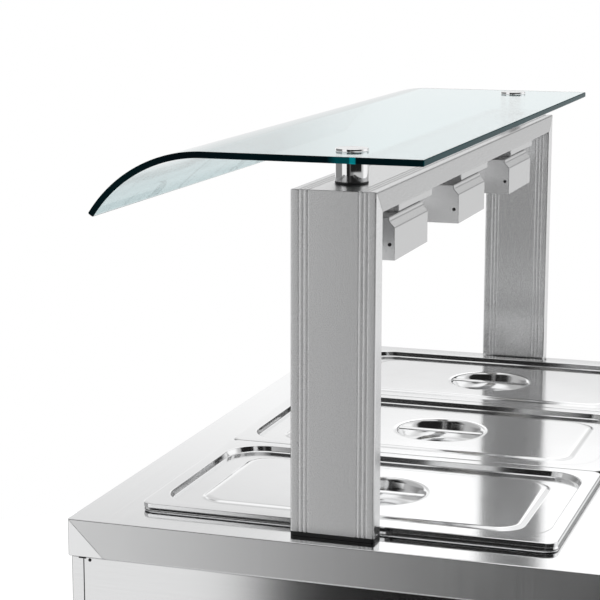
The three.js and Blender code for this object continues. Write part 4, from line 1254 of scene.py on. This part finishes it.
# ---- lamps ----------------------------------------------------------------------------------
def lamp(i):
    """A heat lamp: channel bracket, folded shell, reflector, quartz tube and its holders."""
    half = half_size(f"lamp_bracket_{i}")
    spot = centre(f"lamp_bracket_{i}")
    h, w, r = half.z, half.y, 2.2 * MM
    sheet = SHEET
    rings = [(h, w, r, -half.x), (h, w, r, half.x), (h - sheet, w - sheet, r - sheet, half.x),
             (h - sheet, w - sheet, r - sheet, -half.x)]
    channel = moved(loft(rings, steps=5, close=False),
                    Matrix.Translation(spot) @ Matrix.Rotation(math.pi / 2, 4, "Y"))
    weigh(add_piece(f"bracket_channel_{i}", channel, "housing", replaces=(f"lamp_bracket_{i}",), sharp=40))

    lo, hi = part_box(f"lamp_housing_{i}")
    top, side_foot = hi.z, lo.z
    wide, narrow = half_size(f"lamp_housing_{i}").y, 45 * MM
    section = [(-wide, side_foot), (-wide, top - 12.3 * MM), (-narrow, top - 5 * MM), (-narrow, top),
               (narrow, top), (narrow, top - 5 * MM), (wide, top - 12.3 * MM), (wide, side_foot)]
    bends = [section[0]]
    for before, here, after in zip(section, section[1:], section[2:]):
        bends += bend(before, here, after, 1.6 * MM, 4)
    bends.append(section[-1])
    bm = bmesh.new()
    ends = [[bm.verts.new((x, y, z)) for y, z in bends] for x in (lo.x, hi.x)]
    strip(bm, *ends)
    for end in ends:
        bm.faces.new(end)
    bmesh.ops.recalc_face_normals(bm, faces=bm.faces)
    rounded(bm, [e for e in bm.edges if len(e.link_faces) == 2
                 and abs(e.verts[0].co.x - e.verts[1].co.x) < 1e-6], 1.0 * MM)
    weigh(thicken(add_piece(f"lamp_shell_{i}", bm, "housing", replaces=(f"lamp_housing_{i}",)), 1.2 * MM))

    # Black screw heads on the housing ends: their black is painted shade for the dark recess round each
    # screw.
    screws = []
    for x, out in ((hi.x, 1), (lo.x, -1)):
        for y in (-wide + 6.5 * MM, wide - 6.5 * MM):
            screws.append(screw_head((x, y, lo.z + 19 * MM), "x", 2.4 * MM, out))
    add_piece(f"lamp_screws_{i}", merge(*screws), "black")

    tube = centre(f"quartz_lamp_{i}")
    q_lo, q_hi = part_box(f"quartz_lamp_{i}")
    reach, depth = 38 * MM, 26 * MM
    steps = 20
    curve = [(reach * (2 * k / steps - 1), tube.z - 6 * MM + depth * (1 - (2 * k / steps - 1) ** 2))
             for k in range(steps + 1)]
    bm = bmesh.new()
    ends = [[bm.verts.new((x, y, z)) for y, z in curve] for x in (lo.x + 3 * MM, hi.x - 3 * MM)]
    strip(bm, *ends)
    thicken(add_piece(f"reflector_{i}", bm, "reflector"), 0.8 * MM)
    r = 5.5 * MM
    sleeve = [(r - 1 * MM, 16 * MM), (r, 16 * MM, 0.3 * MM), (r, q_hi.x - q_lo.x - 16 * MM, 0.3 * MM),
              (r - 1 * MM, q_hi.x - q_lo.x - 16 * MM)]
    add_piece(f"quartz_tube_{i}", lathe(sleeve, 40, "x", (q_lo.x, 0, tube.z)), "quartz")
    turns, coil = 34, 1.6 * MM
    start, end = q_lo.x + 12 * MM, q_hi.x - 12 * MM
    wire = [(start + (end - start) * k / (turns * 8), coil * math.cos(2 * math.pi * k / 8),
             tube.z + coil * math.sin(2 * math.pi * k / 8)) for k in range(turns * 8 + 1)]
    add_piece(f"filament_{i}", sweep(wire, 0.35 * MM, 6), "element", sharp=60)
    holder = mm([(0, 0), (8, 0, 0.6), (8, 13, 0.8), (6, 14, 0.5), (0, 14)])
    holders = [lathe(holder, 40, "x", (x, 0, tube.z), out) for x, out in ((q_lo.x, 1), (q_hi.x, -1))]
    add_piece(f"lamp_holders_{i}", merge(*holders), "ceramic", replaces=(f"quartz_lamp_{i}",))


# ---- build every piece ----------------------------------------------------------------------
worktop()
customer_fascia()
cupboard_shell()
corner_slot_shades()
levelling_feet()
for word in ("right", "left"):
    door(word)
    door_handle(word)
control_panel()
knob()
rocker("power_rocker", "power_switch", "red")
rocker("lamp_rocker", "lamp_switch", "black")
pilot_lamp()
well_tank()
heating_element()
drain()
cable_gland()
for i in (1, 2, 3):
    food_pan(i)
    pan_lid(i)
    lid_strap(i)
    lamp(i)
gantry()
standoffs()
glass_canopy()
bevel_node("operator_frame", "steel_x", 0.5 * MM)
bevel_node("thermostat_body", "black", 1.0 * MM)
for i in (1, 2):
    bevel_node(f"post_spigot_{i}", "steel_z", 0.8 * MM)


# ---- studio ---------------------------------------------------------------------------------
def build_world():
    """Soft white surroundings with darker quarters, so that bright metal has something to show."""
    world = bpy.data.worlds.new("studio")
    bpy.context.scene.world = world
    world.use_nodes = True
    tree = world.node_tree
    tree.nodes.clear()
    link = tree.links.new

    def add(kind, **settings):
        node = tree.nodes.new(kind)
        for key, value in settings.items():
            setattr(node, key, value)
        return node

    direction = add("ShaderNodeTexCoord").outputs["Generated"]
    split = add("ShaderNodeSeparateXYZ")
    link(direction, split.inputs[0])
    level_part = add("ShaderNodeCombineXYZ")
    link(split.outputs["X"], level_part.inputs["X"])
    link(split.outputs["Y"], level_part.inputs["Y"])
    bearing = add("ShaderNodeVectorMath", operation="NORMALIZE")
    link(level_part.outputs[0], bearing.inputs[0])

    def smooth(source, low, high):
        node = add("ShaderNodeMapRange", interpolation_type="SMOOTHSTEP")
        node.inputs["From Min"].default_value = low
        node.inputs["From Max"].default_value = high
        link(source, node.inputs["Value"])
        return node.outputs["Result"]

    def quarter(start, end, soft=4):
        """1 between two bearings in degrees from +X, 0 elsewhere."""
        middle, half = math.radians((start + end) / 2), (end - start) / 2
        dot = add("ShaderNodeVectorMath", operation="DOT_PRODUCT")
        link(bearing.outputs["Vector"], dot.inputs[0])
        dot.inputs[1].default_value = (math.cos(middle), math.sin(middle), 0)
        return smooth(dot.outputs["Value"], math.cos(math.radians(half + soft)),
                      math.cos(math.radians(max(half - soft, 0.5))))

    def both(a, b):
        node = add("ShaderNodeMath", operation="MULTIPLY")
        link(a, node.inputs[0])
        link(b, node.inputs[1])
        return node.outputs[0]

    def mix(level, value, mask):
        node = add("ShaderNodeMix", data_type="FLOAT")
        if isinstance(level, (int, float)):
            node.inputs["A"].default_value = level
        else:
            link(level, node.inputs["A"])
        node.inputs["B"].default_value = value
        link(mask, node.inputs["Factor"])
        return node.outputs["Result"]

    height = split.outputs["Z"]

    def above(low, high):
        return smooth(height, math.sin(math.radians(low)), math.sin(math.radians(high)))

    level = mix(1.1, 0.8, above(22, 48))
    level = mix(level, 0.9, quarter(186, 203, 2))
    level = mix(level, 1.1, both(quarter(197.5, 222, 2), above(8, 12)))
    level = mix(level, 0.72, both(quarter(197.5, 222, 2), above(12, 19)))
    level = mix(level, 0.75, both(quarter(186, 197, 2), above(9, 11)))
    level = mix(level, 1.1, both(quarter(176, 197, 2), above(12.5, 15)))
    level = mix(level, 1.35, both(quarter(176, 197, 2), above(15, 18)))
    level = mix(level, 0.82, quarter(146, 181, 6))
    level = mix(level, 0.34, both(quarter(146, 181, 6), above(-5, 0)))
    level = mix(level, 1.0, both(quarter(146, 181, 6), above(12, 17)))
    level = mix(level, 0.5, quarter(-128, 96))
    level = mix(level, 0.25, both(quarter(-128, -54), above(20, 8)))
    level = mix(level, 1.05, quarter(-54, -20.2, 1))
    level = mix(level, 0.015, quarter(-19.4, 92, 1))
    level = mix(level, 0.015, both(quarter(-54, -15, 14), above(20, 26)))
    level = mix(level, 0.25, quarter(8, 40, 10))
    level = mix(level, 0.6, quarter(30, 100, 10))
    level = mix(level, 0.015, both(quarter(8, 86, 3), above(-9, -7)))
    level = mix(level, 1.1, above(50, 70))
    path = add("ShaderNodeLightPath")
    seen = add("ShaderNodeMath", operation="MAXIMUM")
    link(path.outputs["Is Camera Ray"], seen.inputs[0])
    link(path.outputs["Is Transmission Ray"], seen.inputs[1])
    level = mix(level, 1.0, seen.outputs[0])
    background = add("ShaderNodeBackground")
    background.inputs["Color"].default_value = (1, 1, 1, 1)
    link(level, background.inputs["Strength"])
    link(background.outputs[0], add("ShaderNodeOutputWorld").inputs["Surface"])


def build_floor():
    """A pale floor that the metal does not mirror."""
    bm = bmesh.new()
    bmesh.ops.create_circle(bm, cap_ends=True, segments=128, radius=2.6)
    mesh = bpy.data.meshes.new("studio_floor")
    bm.to_mesh(mesh)
    bm.free()
    floor = bpy.data.objects.new("studio_floor", mesh)
    floor.location.z = cad_box[0].z - 0.2 * MM
    bpy.context.scene.collection.objects.link(floor)
    m = Nodes("studio_floor")
    m.set(Base_Color=(0.85, 0.85, 0.85, 1), Emission_Color=(1, 1, 1, 1), Emission_Strength=0.62,
          Roughness=0.9)
    mesh.materials.append(m.material)
    floor.visible_glossy = False


def build_camera():
    """Stands before the near end, a little to the operator side, and looks slightly down."""
    camera = bpy.data.objects.new("camera", bpy.data.cameras.new("camera"))
    bpy.context.scene.collection.objects.link(camera)
    lens_mm, sensor_mm = 113.4, 36
    past_end, to_operator, above_top = 2.0439, 0.6493, 0.7027
    yaw, pitch, roll = (math.radians(angle) for angle in (18.425, -10.737, 0.07))
    camera.data.lens = lens_mm
    camera.data.sensor_width = sensor_mm
    camera.location = (HALF_L + past_end, to_operator, TOP + above_top)
    forward = Vector((-math.cos(yaw) * math.cos(pitch), -math.sin(yaw) * math.cos(pitch),
                      math.sin(pitch)))
    aim = forward.to_track_quat("-Z", "Y").to_matrix().to_4x4()
    camera.rotation_euler = (aim @ Matrix.Rotation(roll, 4, "Z")).to_euler()
    camera.data.clip_start, camera.data.clip_end = 0.05, 30
    bpy.context.scene.camera = camera


build_world()
build_floor()
build_camera()
bpy.context.scene.view_settings.view_transform = "Standard"
